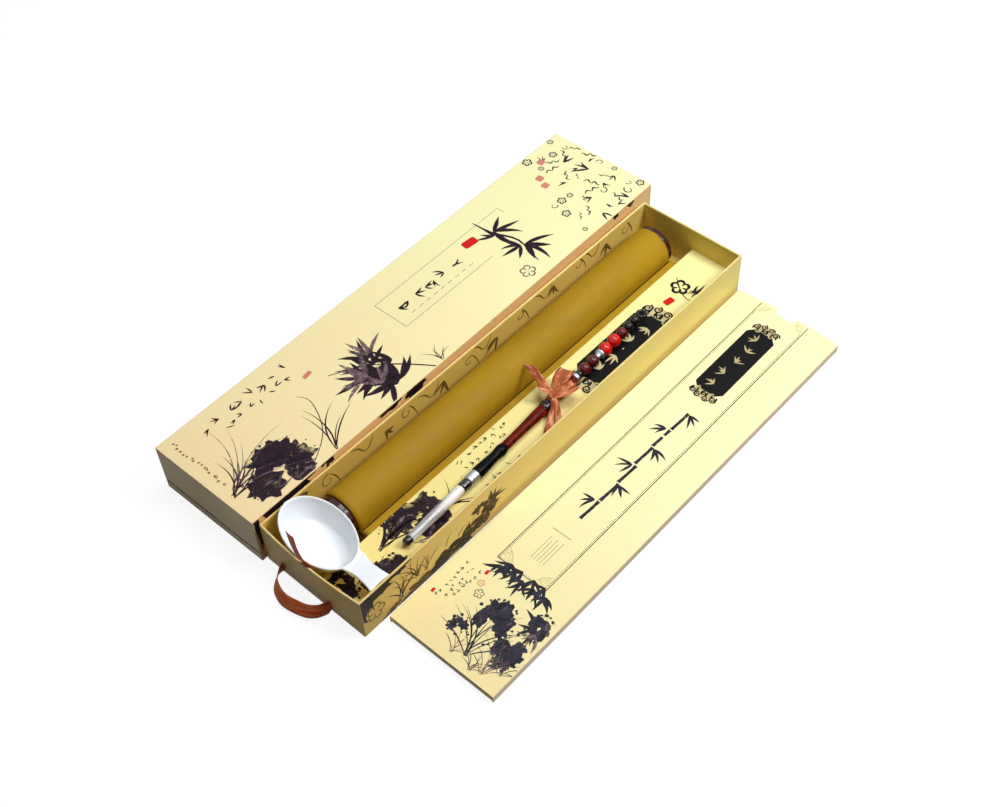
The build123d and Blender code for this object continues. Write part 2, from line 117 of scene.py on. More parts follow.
def round_cube(bm, edges, width):
    bmesh.ops.bevel(bm, geom=edges, offset=width * MM, offset_type="OFFSET", segments=4, profile=0.5,
                    affect="EDGES", material=-1)


def lay_weave(bm, rows, place):
    """Gives the rows' vertices weave coordinates from a function of column and row; returns the layer."""
    layer = bm.loops.layers.uv.get("weave") or bm.loops.layers.uv.new("weave")
    for j, row in enumerate(rows):
        for i, v in enumerate(row):
            for loop in v.link_loops:
                loop[layer].uv = place(i, j)
    return layer


def basis(x, y, z, at):
    """Matrix of three directions and a place."""
    return Matrix((*zip(x, y, z, at), (0, 0, 0, 1)))


def turned(bm, profile, segments, at):
    """Solid of revolution about Z in an empty mesh, from (radius, height) pairs in mm, placed by a matrix."""
    verts = [bm.verts.new((r * MM, 0, z * MM)) for r, z in profile]
    edges = [bm.edges.new(pair) for pair in zip(verts, verts[1:])]
    bmesh.ops.spin(
        bm, geom=verts + edges, axis=(0, 0, 1), cent=(0, 0, 0), steps=segments, angle=2 * pi, use_merge=True)
    bmesh.ops.transform(bm, matrix=at, verts=bm.verts)


def ball(radius, at, turns, bore):
    """Profile of a ball along Z, from bore to bore."""
    a = asin(min(0.9, bore / radius))
    return [(radius * sin(t), at - radius * cos(t)) for t in steps(a, pi - a, turns)]


def rounded(profile, radius):
    """Rounds the corners of a profile of (radius, height) pairs, its ends apart."""
    made = [profile[0]]
    for a, b, c in zip(profile, profile[1:], profile[2:]):
        a, b, c = Vector(a), Vector(b), Vector(c)
        before, after = a - b, c - b
        if before.length < 1e-6 or after.length < 1e-6:
            continue
        cut = min(radius, before.length * 0.45, after.length * 0.45)
        p, q = b + before.normalized() * cut, b + after.normalized() * cut
        for t in steps(0, 1, 3):
            made.append(tuple((p * (1 - t) + b * t) * (1 - t) + (b * (1 - t) + q * t) * t))
    made.append(profile[-1])
    return made


def add_object(name, data):
    obj = bpy.data.objects.new(name, data)
    bpy.context.scene.collection.objects.link(obj)
    return obj


def finish_piece(name, bm, look, body, nodes=(), slot=None, at=None, sharp=40, weld=True):
    """Makes the mesh an object that rides on its body and stands for its CAD nodes."""
    if at is not None:
        bmesh.ops.transform(bm, matrix=at, verts=bm.verts)
    if weld:
        merge(bm)
    mesh = bpy.data.meshes.new(name)
    bm.to_mesh(mesh)
    bm.free()
    if not mesh.polygons:
        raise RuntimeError(name + " has no faces")
    mesh.polygons.foreach_set("use_smooth", [True] * len(mesh.polygons))
    mesh.set_sharp_from_angle(angle=radians(sharp))
    mesh.materials.append(material(look))
    obj = add_object(name, mesh)
    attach(obj, body)
    if nodes:
        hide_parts(*nodes)
        slot or look
    return obj


def thicken(obj, thickness, offset=-1):
    m = obj.modifiers.new("thickness", "SOLIDIFY")
    m.thickness = thickness * MM
    m.offset = offset
    m.use_even_offset = True


def true_flats(obj):
    """Keeps the flats flat beside their rounded edges."""
    m = obj.modifiers.new("normals", "WEIGHTED_NORMAL")
    m.weight = 80
    m.keep_sharp = True


def round_edges(obj, width):
    m = obj.modifiers.new("edges", "BEVEL")
    m.width = width * MM
    m.segments = 2
    m.limit_method = "ANGLE"
    m.angle_limit = radians(35)
    m.harden_normals = False


# --- material helpers

def srgb(r, g, b):
    """Linear colour of an 8-bit one."""
    return tuple(
        (c / 12.92 if c <= 0.04045 else ((c + 0.055) / 1.055) ** 2.4) for c in (r / 255, g / 255, b / 255)
    ) + (1,)


class Net:
    """Short names for the nodes of one tree."""

    def __init__(self, tree):
        self.tree = tree

    def add(self, kind, **settings):
        node = self.tree.nodes.new("ShaderNode" + kind)
        for key, value in settings.items():
            setattr(node, key, value)
        return node

    def put(self, value, socket):
        """Links a socket or sets a value; a colour may be given by its three 8-bit numbers."""
        if isinstance(value, bpy.types.NodeSocket):
            self.tree.links.new(value, socket)
        elif value is not None:
            socket.default_value = srgb(*value) if socket.type == "RGBA" and len(value) == 3 else value

    def math(self, operation, a, b=None, clamp=False):
        node = self.add("Math", operation=operation, use_clamp=clamp)
        for value, socket in zip((a, b), node.inputs):
            self.put(value, socket)
        return node.outputs[0]

    def plus(self, a, b, clamp=False):
        return self.math("ADD", a, b, clamp=clamp)

    def times(self, a, b, clamp=False):
        return self.math("MULTIPLY", a, b, clamp=clamp)

    def mix(self, share, a, b):
        node = self.add("Mix", data_type="RGBA")
        self.put(share, node.inputs["Factor"])
        self.put(a, node.inputs[6])
        self.put(b, node.inputs[7])
        return node.outputs[2]

    def noise(self, vector, scale, detail=3, rough=0.5, bend=0):
        node = self.add("TexNoise")
        self.put(vector, node.inputs["Vector"])
        for key, value in (("Scale", scale), ("Detail", detail), ("Roughness", rough), ("Distortion", bend)):
            self.put(value, node.inputs[key])
        return node.outputs[0]

    def cells(self, vector, scale):
        node = self.add("TexVoronoi")
        self.put(vector, node.inputs["Vector"])
        self.put(scale, node.inputs["Scale"])
        return node.outputs["Distance"]

    def remap(self, value, a, b, c=0, d=1, smooth=False):
        node = self.add("MapRange", interpolation_type="SMOOTHSTEP" if smooth else "LINEAR")
        for key, v in zip(("Value", "From Min", "From Max", "To Min", "To Max"), (value, a, b, c, d)):
            self.put(v, node.inputs[key])
        return node.outputs[0]

    def vector(self, operation, a, b=None):
        node = self.add("VectorMath", operation=operation)
        self.put(a, node.inputs[0])
        self.put(b, node.inputs[1])
        return node.outputs[0]

    def stretch(self, vector, scale):
        return self.vector("MULTIPLY", vector, scale)

    def part(self, vector, axis):
        node = self.add("SeparateXYZ")
        self.put(vector, node.inputs[0])
        return node.outputs[axis]

    def place(self):
        return self.add("TexCoord").outputs["Object"]

    def attribute(self, name):
        return self.add("Attribute", attribute_name=name, attribute_type="GEOMETRY").outputs["Fac"]

    def bump(self, height, strength, distance):
        """Bump whose distance is in mm."""
        node = self.add("Bump")
        for key, value in (("Height", height), ("Strength", strength), ("Distance", distance * MM)):
            self.put(value, node.inputs[key])
        return node.outputs[0]

    def seen(self):
        """1 where the ray comes from the camera, from gloss or through glass."""
        path = self.add("LightPath").outputs
        direct = self.plus(path["Is Camera Ray"], path["Is Glossy Ray"])
        return self.plus(direct, path["Is Transmission Ray"], clamp=True)

    def group(self, name, **inputs):
        node = self.add("Group")
        node.node_tree = bpy.data.node_groups[name]
        for key, value in inputs.items():
            self.put(value, node.inputs[key])
        return node.outputs


def new_group(name, inputs, outputs, fill):
    """Node group whose sockets are listed as (name, kind, default)."""
    tree = bpy.data.node_groups.new(name, "ShaderNodeTree")
    for label, kind, default in inputs:
        socket = tree.interface.new_socket(label, in_out="INPUT", socket_type="NodeSocket" + kind)
        if default is not None:
            socket.default_value = default
    for label, kind in outputs:
        tree.interface.new_socket(label, in_out="OUTPUT", socket_type="NodeSocket" + kind)
    net = Net(tree)
    source = tree.nodes.new("NodeGroupInput").outputs
    target = tree.nodes.new("NodeGroupOutput").inputs
    for label, value in fill(net, source).items():
        net.put(value, target[label])


class Look(Net):
    """Net of a new Principled material."""

    def __init__(self, name):
        made = bpy.data.materials.new("look_" + name)
        made.use_nodes = True
        super().__init__(made.node_tree)

    def finish(self, inputs):
        """Puts sockets and values into the shader by input name."""
        shader = self.tree.nodes["Principled BSDF"].inputs
        for key, value in inputs.items():
            self.put(value, shader[key])


# --- shared node groups

def fill_paper(net, source):
    """Fibres, clouding and fine tooth of a coated paper."""
    at = source["Vector"]
    cloud = net.noise(at, 9, 4, 0.55)
    fibre = net.noise(net.stretch(at, (1, 3, 1)), 420, 3, 0.6, 0.6)
    tooth = net.noise(at, 2600, 2, 0.5)
    fleck = net.remap(net.cells(at, 330), 0.04, 0, 0, 1)
    height = net.plus(net.times(fibre, 0.6), net.times(tooth, 0.4))
    return {"Cloud": cloud, "Fibre": fibre, "Fleck": net.times(fleck, source["Flecks"]), "Height": height}


def fill_wear(net, source):
    """Mask along the edges of a box given by its middle and half size, broken up by noise."""
    turn = net.add("VectorRotate", rotation_type="Z_AXIS")
    net.put(source["Vector"], turn.inputs["Vector"])
    net.put(source["Middle"], turn.inputs["Center"])
    net.put(source["Turn"], turn.inputs["Angle"])
    away = net.vector("ABSOLUTE", net.vector("SUBTRACT", turn.outputs[0], source["Middle"]))
    gap = net.vector("SUBTRACT", source["Half"], away)
    x, y, z = (net.part(gap, k) for k in range(3))
    low, high = net.math("MINIMUM", x, y), net.math("MAXIMUM", x, y)
    second = net.math("MAXIMUM", low, net.math("MINIMUM", high, z))
    edge = net.remap(second, 0.0013, 0.0002, 0, 1, True)
    spots = net.remap(net.noise(source["Vector"], 120, 4, 0.65), 0.46, 0.6)
    return {"Edge": edge, "Worn": net.times(net.times(edge, spots), source["Amount"])}


def fill_weave(net, source):
    """Plain weave from two sets of threads along the two directions given."""
    def threads(value, other):
        phase = net.times(value, source["Count"])
        wave = net.math("SINE", net.times(phase, 2 * pi))
        over = net.math("SINE", net.times(net.times(other, source["Count"]), pi))
        return net.times(net.plus(net.times(wave, 0.5), 0.5),
                        net.plus(net.times(over, 0.35), 0.65))
    a, b = threads(source["Across"], source["Along"]), threads(source["Along"], source["Across"])
    return {"Height": net.math("MAXIMUM", a, b), "Threads": net.math("SUBTRACT", a, b)}


def fill_ink(net, source):
    """Cover of brush ink: thin at the edges, streaked and mottled."""
    at = source["Vector"]
    mottle = net.noise(at, 190, 5, 0.65, 0.4)
    streak = net.noise(net.stretch(at, (1, 0.35, 1)), 900, 3, 0.6)
    rough = net.plus(net.times(mottle, 0.7), net.times(streak, 0.3))
    limit = net.math("SUBTRACT", 1, source["Ink"])
    cover = net.remap(net.math("SUBTRACT", rough, net.times(limit, 0.75)), 0.12, 0.42, 0, 1, True)
    return {"Cover": net.times(cover, net.math("MINIMUM", net.times(source["Ink"], 3), 1)),
            "Mottle": mottle}


def fill_smudge(net, source):
    """Fine scratches and finger marks on gloss."""
    at = source["Vector"]
    marks = net.remap(net.noise(at, 60, 4, 0.6, 0.3), 0.35, 0.7)
    lines = net.remap(net.noise(net.stretch(at, (1, 9, 1)), 700, 2, 0.5), 0.56, 0.66)
    return {"Marks": marks, "Lines": lines}


def make_groups():
    vector, amount = ("Vector", "Vector", None), ("Amount", "Float", 0.5)
    new_group("paper", [vector, ("Flecks", "Float", 0.3)],
              [("Cloud", "Float"), ("Fibre", "Float"), ("Fleck", "Float"), ("Height", "Float")], fill_paper)
    new_group("wear", [vector, amount, ("Middle", "Vector", None), ("Half", "Vector", None),
                       ("Turn", "Float", 0)], [("Edge", "Float"), ("Worn", "Float")], fill_wear)
    new_group("weave", [("Across", "Float", 0), ("Along", "Float", 0), ("Count", "Float", 1500)],
              [("Height", "Float"), ("Threads", "Float")], fill_weave)
    new_group("ink", [vector, ("Ink", "Float", 1)], [("Cover", "Float"), ("Mottle", "Float")], fill_ink)
    new_group("smudge", [vector], [("Marks", "Float"), ("Lines", "Float")], fill_smudge)


# --- materials

def coated_paper(name, near, far, span, body=None, rough=0.5, wear=0.6, side=None):
    """Printed coated paper whose tint runs from near to far along Y over the span in metres; the deeper near
    tint is mostly painted shade, partly the print's own tone, and the side tint is painted shade of the faces
    turned along X.
    """
    net = Look(name)
    at = net.place()
    paper = net.group("paper", Vector=at, Flecks=0.25)
    middle, half, turn = body or ((0, 0, 0), (9, 9, 9), 0)
    worn = net.group("wear", Vector=at, Amount=wear, Middle=middle, Half=half, Turn=-turn)
    # Near-to-far tint: mostly painted shade, the paper drawn deeper towards the near end where less light
    # falls, partly the print's own tone.
    along = net.remap(net.part(at, "Y"), span[0], span[1])
    along = net.plus(along, net.remap(paper["Cloud"], 0.3, 0.7, -0.12, 0.12), clamp=True)
    tint = net.mix(along, near, far)
    # Faces turned along X take the side tint: a deeper, more orange colour painted as the shade of the box's
    # sides.
    if side:
        facing = net.math("ABSOLUTE", net.part(net.add("TexCoord").outputs["Normal"], "X"))
        tint = net.mix(net.remap(facing, 0.6, 0.8, 0, 0.8), tint, side)
    tint = net.mix(net.remap(paper["Fibre"], 0.35, 0.65, 0, 0.1), tint, (196, 160, 92))
    tint = net.mix(net.times(paper["Fleck"], 0.22), tint, (150, 112, 60))
    tint = net.mix(net.times(worn["Edge"], 0.18), tint, (214, 178, 110))
    tint = net.mix(net.times(worn["Worn"], 0.7), tint, (244, 236, 214))
    net.finish({
        "Base Color": tint,
        "Roughness": net.remap(paper["Cloud"], 0.3, 0.7, rough - 0.06, rough + 0.1),
        "Normal": net.bump(paper["Height"], 0.175, 0.05),
        "Specular IOR Level": 0.14,
    })


def raw_board(name, colour):
    net = Look(name)
    paper = net.group("paper", Vector=net.place(), Flecks=1)
    tint = net.mix(net.remap(paper["Cloud"], 0.3, 0.7, 0, 0.5), colour, (122, 116, 104))
    tint = net.mix(net.times(paper["Fleck"], 0.4), tint, (84, 78, 68))
    net.finish({"Base Color": tint, "Roughness": 0.9, "Normal": net.bump(paper["Height"], 0.6, 0.12)})


def card_stock(name, face, edge):
    net = Look(name)
    paper = net.group("paper", Vector=net.place(), Flecks=0.5)
    tint = net.mix(net.remap(paper["Fibre"], 0.3, 0.7, 0, 0.25), face, edge)
    net.finish({"Base Color": tint, "Roughness": net.remap(paper["Cloud"], 0.3, 0.7, 0.45, 0.62),
                "Normal": net.bump(paper["Height"], 0.35, 0.06)})


def satin_ribbon(name, deep, light, rough, upper_shade=0, painted_highlight=None, gloss=0.28):
    """Satin whose threads run along the ribbon's own UV map, with painted light and shade: lit and shaded
    tones over a crease noise, a painted highlight on the crests, painted shade in the hollows and on its
    upper part.
    """
    net = Look(name)
    uv = net.add("UVMap", uv_map="weave").outputs[0]
    across, along = net.part(uv, "X"), net.part(uv, "Y")
    weave = net.group("weave", Across=across, Along=along, Count=2600)
    crease = net.noise(net.stretch(uv, (260, 70, 1)), 1, 3, 0.55, 0.8)
    # Painted light and shade: the crease noise picks between the lit and the shaded colour of the folds.
    tint = net.mix(net.remap(crease, 0.32, 0.62), deep, light)
    # Painted highlight on the crests of the creases, painted shade at half the deep colour in their hollows.
    if painted_highlight:
        tint = net.mix(net.remap(crease, 0.53, 0.66), tint, painted_highlight)
        tint = net.mix(net.remap(crease, 0.36, 0.28), tint, [0.5 * v for v in deep])
    tint = net.mix(net.remap(weave["Threads"], -0.8, 0.8, 0, 0.22), tint, deep)
    # Painted shade on the upper part of the ribbon, where the tail stands up in the dish.
    tint = net.mix(net.remap(net.part(net.place(), "Z"), 0.02, 0.05, 0, upper_shade), tint,
                   [0.95 * v for v in deep])
    height = net.plus(net.times(weave["Height"], 0.25), net.times(crease, 0.75))
    net.finish({"Base Color": tint, "Roughness": net.remap(crease, 0.3, 0.7, rough - 0.05, rough + 0.12),
                "Normal": net.bump(height, 0.45, 0.25),
                "Specular IOR Level": gloss, "Specular Tint": (255, 206, 164)})


def practice_cloth(name, light):
    """Coated practice cloth: a fine weave under a dull gold finish, with soft handling marks."""
    net = Look(name)
    uv = net.add("UVMap", uv_map="weave").outputs[0]
    weave = net.group("weave", Across=net.part(uv, "X"), Along=net.part(uv, "Y"), Count=1250)
    cloud = net.noise(net.stretch(net.place(), (1, 0.35, 1)), 26, 5, 0.6, 0.4)
    slub = net.noise(net.stretch(uv, (70, 1500, 1)), 1, 3, 0.6)
    tint = net.mix(net.remap(cloud, 0.3, 0.7), (158, 122, 12), light)
    tint = net.mix(net.remap(slub, 0.35, 0.7, 0, 0.35), tint, (128, 94, 6))
    tint = net.mix(net.remap(weave["Threads"], -0.7, 0.7, 0, 0.2), tint, (196, 160, 48))
    height = net.plus(weave["Height"], net.times(slub, 1.2))
    net.finish({"Base Color": tint, "Roughness": net.remap(cloud, 0.3, 0.7, 0.5, 0.66),
                "Normal": net.bump(height, 0.5, 0.16),
                "Sheen Weight": 0.06, "Sheen Roughness": 0.5, "Specular IOR Level": 0.2,
                "Sheen Tint": (220, 180, 60)})


def glazed(name):
    """White glazed ware with a faint clouded body and pinholes."""
    net = Look(name)
    at = net.place()
    smudge = net.group("smudge", Vector=at)
    cloud = net.noise(at, 45, 3, 0.5)
    pits = net.remap(net.cells(at, 240), 0.05, 0)
    tint = net.mix(net.remap(cloud, 0.3, 0.7), (240, 247, 255), (251, 254, 255))
    tint = net.mix(net.times(pits, 0.1), tint, (190, 180, 165))
    height = net.plus(net.times(cloud, 0.8), net.times(pits, -0.3))
    net.finish({"Base Color": tint, "Roughness": net.remap(smudge["Marks"], 0, 1, 0.18, 0.28),
                "Normal": net.bump(height, 0.12, 0.5),
                "Coat Weight": 0.6, "Coat Roughness": 0.06, "Subsurface Weight": 0.05,
                "Subsurface Radius": (0.002, 0.002, 0.002)})


def lacquer(name, deep, light, rough=0.14, gloss=0.25, coat=0.2):
    """Gloss over a streaked ground."""
    net = Look(name)
    at = net.place()
    smudge = net.group("smudge", Vector=at)
    figure = net.noise(net.stretch(at, (1, 1, 0.12)), 260, 4, 0.6, 0.8)
    tint = net.mix(net.remap(figure, 0.35, 0.68), deep, light)
    net.finish({"Base Color": tint, "Roughness": net.remap(smudge["Marks"], 0, 1, rough, rough + 0.06),
                "Normal": net.bump(net.plus(figure, smudge["Lines"]), 0.08, 0.08),
                "Coat Weight": coat, "Coat Roughness": 0.04, "Specular IOR Level": gloss})


def brushed_metal(name, colour, rough):
    net = Look(name)
    at = net.place()
    smudge = net.group("smudge", Vector=at)
    rings = net.noise(net.stretch(at, (0.25, 4, 0.25)), 900, 2, 0.5)
    tint = net.mix(net.remap(smudge["Marks"], 0, 1, 0, 0.3), colour, (120, 118, 120))
    net.finish({"Base Color": tint, "Roughness": net.remap(rings, 0.3, 0.7, rough - 0.08, rough + 0.12),
                "Normal": net.bump(rings, 0.15, 0.05),
                "Metallic": 1})


def hair_material(name):
    net = Look(name)
    uv = net.add("UVMap", uv_map="weave").outputs[0]
    strand = net.noise(net.stretch(uv, (900, 14, 1)), 1, 3, 0.6, 0.3)
    along = net.part(uv, "Y")
    tint = net.mix(net.remap(strand, 0.3, 0.7), (250, 249, 247), (255, 255, 255))
    tint = net.mix(net.remap(along, 0.022, 0.034, 0, 0.1), tint, (176, 160, 140))
    net.finish({"Base Color": tint, "Roughness": net.remap(strand, 0.3, 0.7, 0.4, 0.65),
                "Normal": net.bump(strand, 0.35, 0.2),
                "Sheen Weight": 0.3, "Anisotropic": 0.5})


def clear_plastic(name):
    """Thin clear plastic, denser and whiter at its edges by a facing weight that paints the glancing
    reflection there, denser at its narrow end, with lengthwise streaks from the mould.
    """
    net = Look(name)
    at = net.place()
    # The facing weight whitens the edges: a painted reflection, together with the longer path through the
    # wall there.
    facing = net.add("LayerWeight")
    facing.inputs["Blend"].default_value = 0.5
    rim = net.math("POWER", facing.outputs["Facing"], 2.2)
    streak = net.noise(net.stretch(at, (1, 0.08, 1)), 520, 2, 0.5)
    cover = net.plus(net.times(rim, net.remap(net.part(at, "Y"), -0.13, -0.098, 0.6, 0.12)),
                     net.remap(net.part(at, "Y"), -0.161, -0.118, 0.5, 0), clamp=True)
    net.finish({"Base Color": net.mix(net.remap(streak, 0.42, 0.6), (186, 188, 196), (254, 254, 255)),
                "Alpha": cover, "Roughness": net.remap(streak, 0.3, 0.7, 0.08, 0.18), "Coat Weight": 0.3,
                "Coat Roughness": 0.04, "Specular IOR Level": 0.6})


def bare_wood(name, light, dark):
    net = Look(name)
    grain = net.noise(net.stretch(net.place(), (1, 0.06, 1)), 420, 4, 0.6, 1.2)
    tint = net.mix(net.remap(grain, 0.35, 0.65), light, dark)
    net.finish({"Base Color": tint, "Roughness": 0.6, "Normal": net.bump(grain, 0.3, 0.15)})


def twine(name, colour):
    net = Look(name)
    lay = net.add("TexWave", wave_type="BANDS", bands_direction="DIAGONAL")
    net.put(net.place(), lay.inputs["Vector"])
    lay.inputs["Scale"].default_value = 320
    lay.inputs["Distortion"].default_value = 1
    tint = net.mix(lay.outputs["Fac"], colour, (60, 10, 8))
    net.finish({"Base Color": tint, "Roughness": 0.75, "Normal": net.bump(lay.outputs["Fac"], 0.6, 0.2),
                "Sheen Weight": 0.3})


def ink_material(name, deep, light, strength=1):
    """Printed brush ink whose cover follows the print's own ink attribute."""
    net = Look(name)
    ink = net.group("ink", Vector=net.place(), Ink=net.times(net.attribute("ink"), strength))
    tint = net.mix(net.remap(ink["Mottle"], 0.35, 0.7), deep, light)
    net.finish({"Base Color": tint, "Alpha": ink["Cover"],
                "Roughness": net.remap(ink["Mottle"], 0.3, 0.7, 0.38, 0.5), "Specular IOR Level": 0.12})


def solid_print(name, deep, light):
    """Flat printed colour with a slight mottle, cut to its own outline by the ink attribute."""
    net = Look(name)
    paper = net.group("paper", Vector=net.place(), Flecks=0.3)
    tint = net.mix(net.remap(paper["Cloud"], 0.3, 0.7), deep, light)
    cover = net.times(net.attribute("ink"), net.remap(paper["Fibre"], 0.08, 0.2), clamp=True)
    net.finish({"Base Color": tint, "Alpha": cover,
                "Roughness": net.remap(paper["Fibre"], 0.3, 0.7, 0.35, 0.5), "Specular IOR Level": 0.12})


def make_materials():
    yard = (-0.235, 0.235)
    s = settings()
    p = {key: [255 * v for v in getattr(s.palette, key)] for key in own_properties(s.palette)}
    tray_half = tuple(v / 2 for v in s.tray.size)
    tray_box = ((0, 0, tray_half[2]), tray_half, 0)
    x, y, z = (v / 2 for v in s.sleeve.size)
    sleeve_box = (tuple(turned_frame(s.sleeve.corner, s.sleeve.turn) @ Vector((-x, y, z))), (x, y, z),
                  s.sleeve.turn)
    x, y, z = (v / 2 for v in s.folder.size)
    folder_box = (tuple(turned_frame(s.folder.corner, s.folder.turn) @ Vector((x, y, z))),
                  (x, y, z + 0.02), s.folder.turn)
    # Each paper's near colour is deeper than its far one: mostly painted shade towards the near end, partly
    # the print's own tone.
    coated_paper("wrap_paper", p["paper_near"], p["paper_far"], (-0.26, 0.16), sleeve_box,
                 side=(255, 206, 142))
    coated_paper("tray_paper", (240, 206, 122), p["tray"], yard, tray_box)
    coated_paper("lining_paper", (232, 200, 98), p["lining"], yard, wear=0.3)
    coated_paper("step_paper", (248, 224, 140), (254, 252, 178), yard)
    # The side tint of the folder card below and that of the wrap paper above are painted shade of the faces
    # turned along X.
    coated_paper("folder_card", (250, 232, 172), (252, 249, 196), (-0.22, 0.02), folder_box, rough=0.42,
                 side=(255, 232, 200))
    raw_board("greyboard", (150, 143, 130))
    raw_board("step_card", (196, 186, 160))
    card_stock("practice_card", (246, 243, 232), (222, 212, 190))
    satin_ribbon("satin", (214, 84, 36), p["ribbon"], 0.5, upper_shade=0.85, gloss=0.16)
    satin_ribbon("bow_satin", (132, 50, 16), p["bow"], 0.22, painted_highlight=(248, 186, 150), gloss=0.5)
    practice_cloth("cloth", p["cloth"])
    bare_wood("rod_wood", (214, 184, 134), (186, 150, 100))
    bare_wood("lath_wood", (220, 192, 146), (190, 156, 108))
    lacquer("cap_lacquer", (38, 8, 9), (72, 18, 17))
    glazed("glaze")
    hair_material("hair")
    lacquer("navy", (2, 4, 12), (8, 14, 30), 0.16, 0.4)
    brushed_metal("silver", (176, 184, 198), 0.38)
    lacquer("horn", (2, 2, 3), (8, 8, 9), 0.24, 0.06, coat=0)
    lacquer("handle_lacquer", (56, 5, 2), p["handle"], 0.32, 0.08, coat=0)
    lacquer("black_gloss", (8, 8, 9), (26, 25, 26), 0.1)
    lacquer("maroon_bead", (64, 4, 8), (120, 18, 18), 0.08)
    lacquer("red_bead", (196, 6, 6), p["bead"], 0.08)
    twine("cord", (118, 24, 20))
    clear_plastic("clear")
    ink_material("ink", (12, 5, 12), p["ink"])
    ink_material("ink_slate", (14, 12, 22), (56, 54, 70))
    ink_material("ink_umber", (40, 30, 14), (92, 72, 36))
    ink_material("ink_wash", (84, 64, 78), (136, 116, 118), 0.8)
    ink_material("ink_brown", (96, 74, 30), (138, 110, 54), 0.95)
    solid_print("seal_red", (196, 20, 22), p["seal"])
    solid_print("blossom", (206, 120, 104), (232, 160, 138))
    solid_print("plaque_black", (2, 2, 3), (10, 9, 10))
    solid_print("plaque_beige", (182, 168, 122), (222, 208, 156))
    # Dark stitches along the cloth's free edge: partly a hem seam, mostly a painted shadow line under that
    # edge.
    solid_print("hem_thread", (38, 20, 4), (60, 36, 8))
    solid_print("frame_line", (26, 20, 18), (58, 50, 42))


# --- settings

def length(name, text, value):
    return FloatProperty(name=name, description=text, default=value, unit="LENGTH", precision=5)


def amount(name, text, value):
    return FloatProperty(name=name, description=text, default=value)


def angle(name, text, value):
    return FloatProperty(name=name, description=text, default=value, subtype="ANGLE")


def lengths(name, text, *value, kind="XYZ"):
    return FloatVectorProperty(
        name=name, description=text, size=len(value), default=value, subtype=kind, precision=6)


def shade(name, text, *value):
    """Colour property from 8-bit values."""
    return FloatVectorProperty(name=name, description=text, subtype="COLOR_GAMMA", size=3, min=0, max=1,
                               default=[v / 255 for v in value])


class PaletteSettings(bpy.types.PropertyGroup):
    # Near-end paper colours are deeper mostly as painted shade, partly as the print's own tone; far-end
    # colours are the paper in full light.
    paper_near: shade("Paper, near", "Sleeve paper at its near end", 255, 230, 180)
    paper_far: shade("Paper, far", "Sleeve paper at its far end", 253, 252, 196)
    tray: shade("Tray paper", "Outside of the tray at its far end", 255, 236, 148)
    lining: shade("Lining", "Inside of the tray at its far end", 240, 212, 112)
    cloth: shade("Cloth", "Coated practice cloth", 182, 144, 14)
    ribbon: shade("Ribbon", "Lit side of the pull ribbon", 244, 146, 92)
    bow: shade("Bow", "Lit side of the bow's satin", 206, 112, 66)
    ink: shade("Ink", "Thin parts of the printed ink", 50, 28, 42)
    seal: shade("Seal", "Printed seals", 222, 44, 38)
    handle: shade("Handle", "Figure of the lacquered handle", 126, 24, 6)
    bead: shade("Bead", "Bright beads", 236, 34, 22)


class CameraSettings(bpy.types.PropertyGroup):
    lens: FloatProperty(name="Lens", description="Focal length on a 36 mm sensor", default=51.33,
                        unit="CAMERA")
    azimuth: angle("Azimuth", "Turn of the view about Z", radians(44.455))
    elevation: angle("Elevation", "Height of the view", radians(50.1))
    roll: angle("Roll", "Turn about the line of sight", -0.0562087)
    distance: length("Distance", "From the target to the camera", 1.2089)
    target: lengths("Target", "Point looked at", -0.0208, -0.00023, 0)


class LightSettings(bpy.types.PropertyGroup):
    key: amount("Key", "Power of the large light behind on the right, in watts", 16.6)
    top: amount("Top", "Power of the overhead light, in watts", 16.5)
    fill: amount("Fill", "Strength of the surrounding light", 0.05)
    floor: amount("Floor", "Brightness added to the floor as it is seen", 0.9)


class TraySettings(bpy.types.PropertyGroup):
    size: lengths("Size", "Width, length and height", 0.109, 0.47, 0.0453)
    wall: length("Wall", "Thickness of the covered wall", 0.00204)
    bow: length("Bow", "How far the near rim is pushed out", 0.003)
    step_left: length("Step left", "Left side of the platform", 0.00296)
    step_right: length("Step right", "Right side of the platform", 0.05236)
    step_top: length("Step top", "Height of the platform", 0.0225)


class SleeveSettings(bpy.types.PropertyGroup):
    corner: lengths("Corner", "Near right corner of its base", -0.0555, -0.23944, 0)
    size: lengths("Size", "Width, length and height", 0.11404, 0.49274, 0.05044)
    turn: angle("Turn", "Turn about Z", radians(0.606))
    lip: length("Lip", "Height of the low lip under the end flap", 0.009)
    slit: length("Slit", "Gap between lip and flap", 0.0014)


class FolderSettings(bpy.types.PropertyGroup):
    corner: lengths("Corner", "Near left corner of its base", 0.059, -0.2129, 0)
    size: lengths("Size", "Width, length and height", 0.1045, 0.4437, 0.0081)
    turn: angle("Turn", "Turn about Z", radians(0.18))
    card: length("Card", "Thickness of the folded card", 0.001)
    bulge: length("Bulge", "Rise of the top at the open end", 0.0034)
    notch: lengths("Notch", "Width and depth of the thumb notch", 0.0225, 0.007, kind="NONE")


class ClothSettings(bpy.types.PropertyGroup):
    radius: length("Radius", "Outside of the roll", 0.0203)
    core: length("Core", "Radius of the wooden rod", 0.009)
    pitch: length("Pitch", "From one turn to the next", 0.0007)
    width: length("Width", "Cut width of the cloth", 0.3885)
    thickness: length("Thickness", "Of the coated cloth", 0.0004)


class DishSettings(bpy.types.PropertyGroup):
    rim: lengths("Rim", "Half length and half width of the rim", 0.0383, 0.0253, kind="NONE")
    depth: length("Depth", "From rim to foot", 0.0228)
    wall: length("Wall", "Thickness", 0.0021)
    reach: length("Reach", "From the middle to the handle's tip", 0.0656)
    voxel: length("Voxel", "Grid used to join the bowl and the handle", 0.00062)


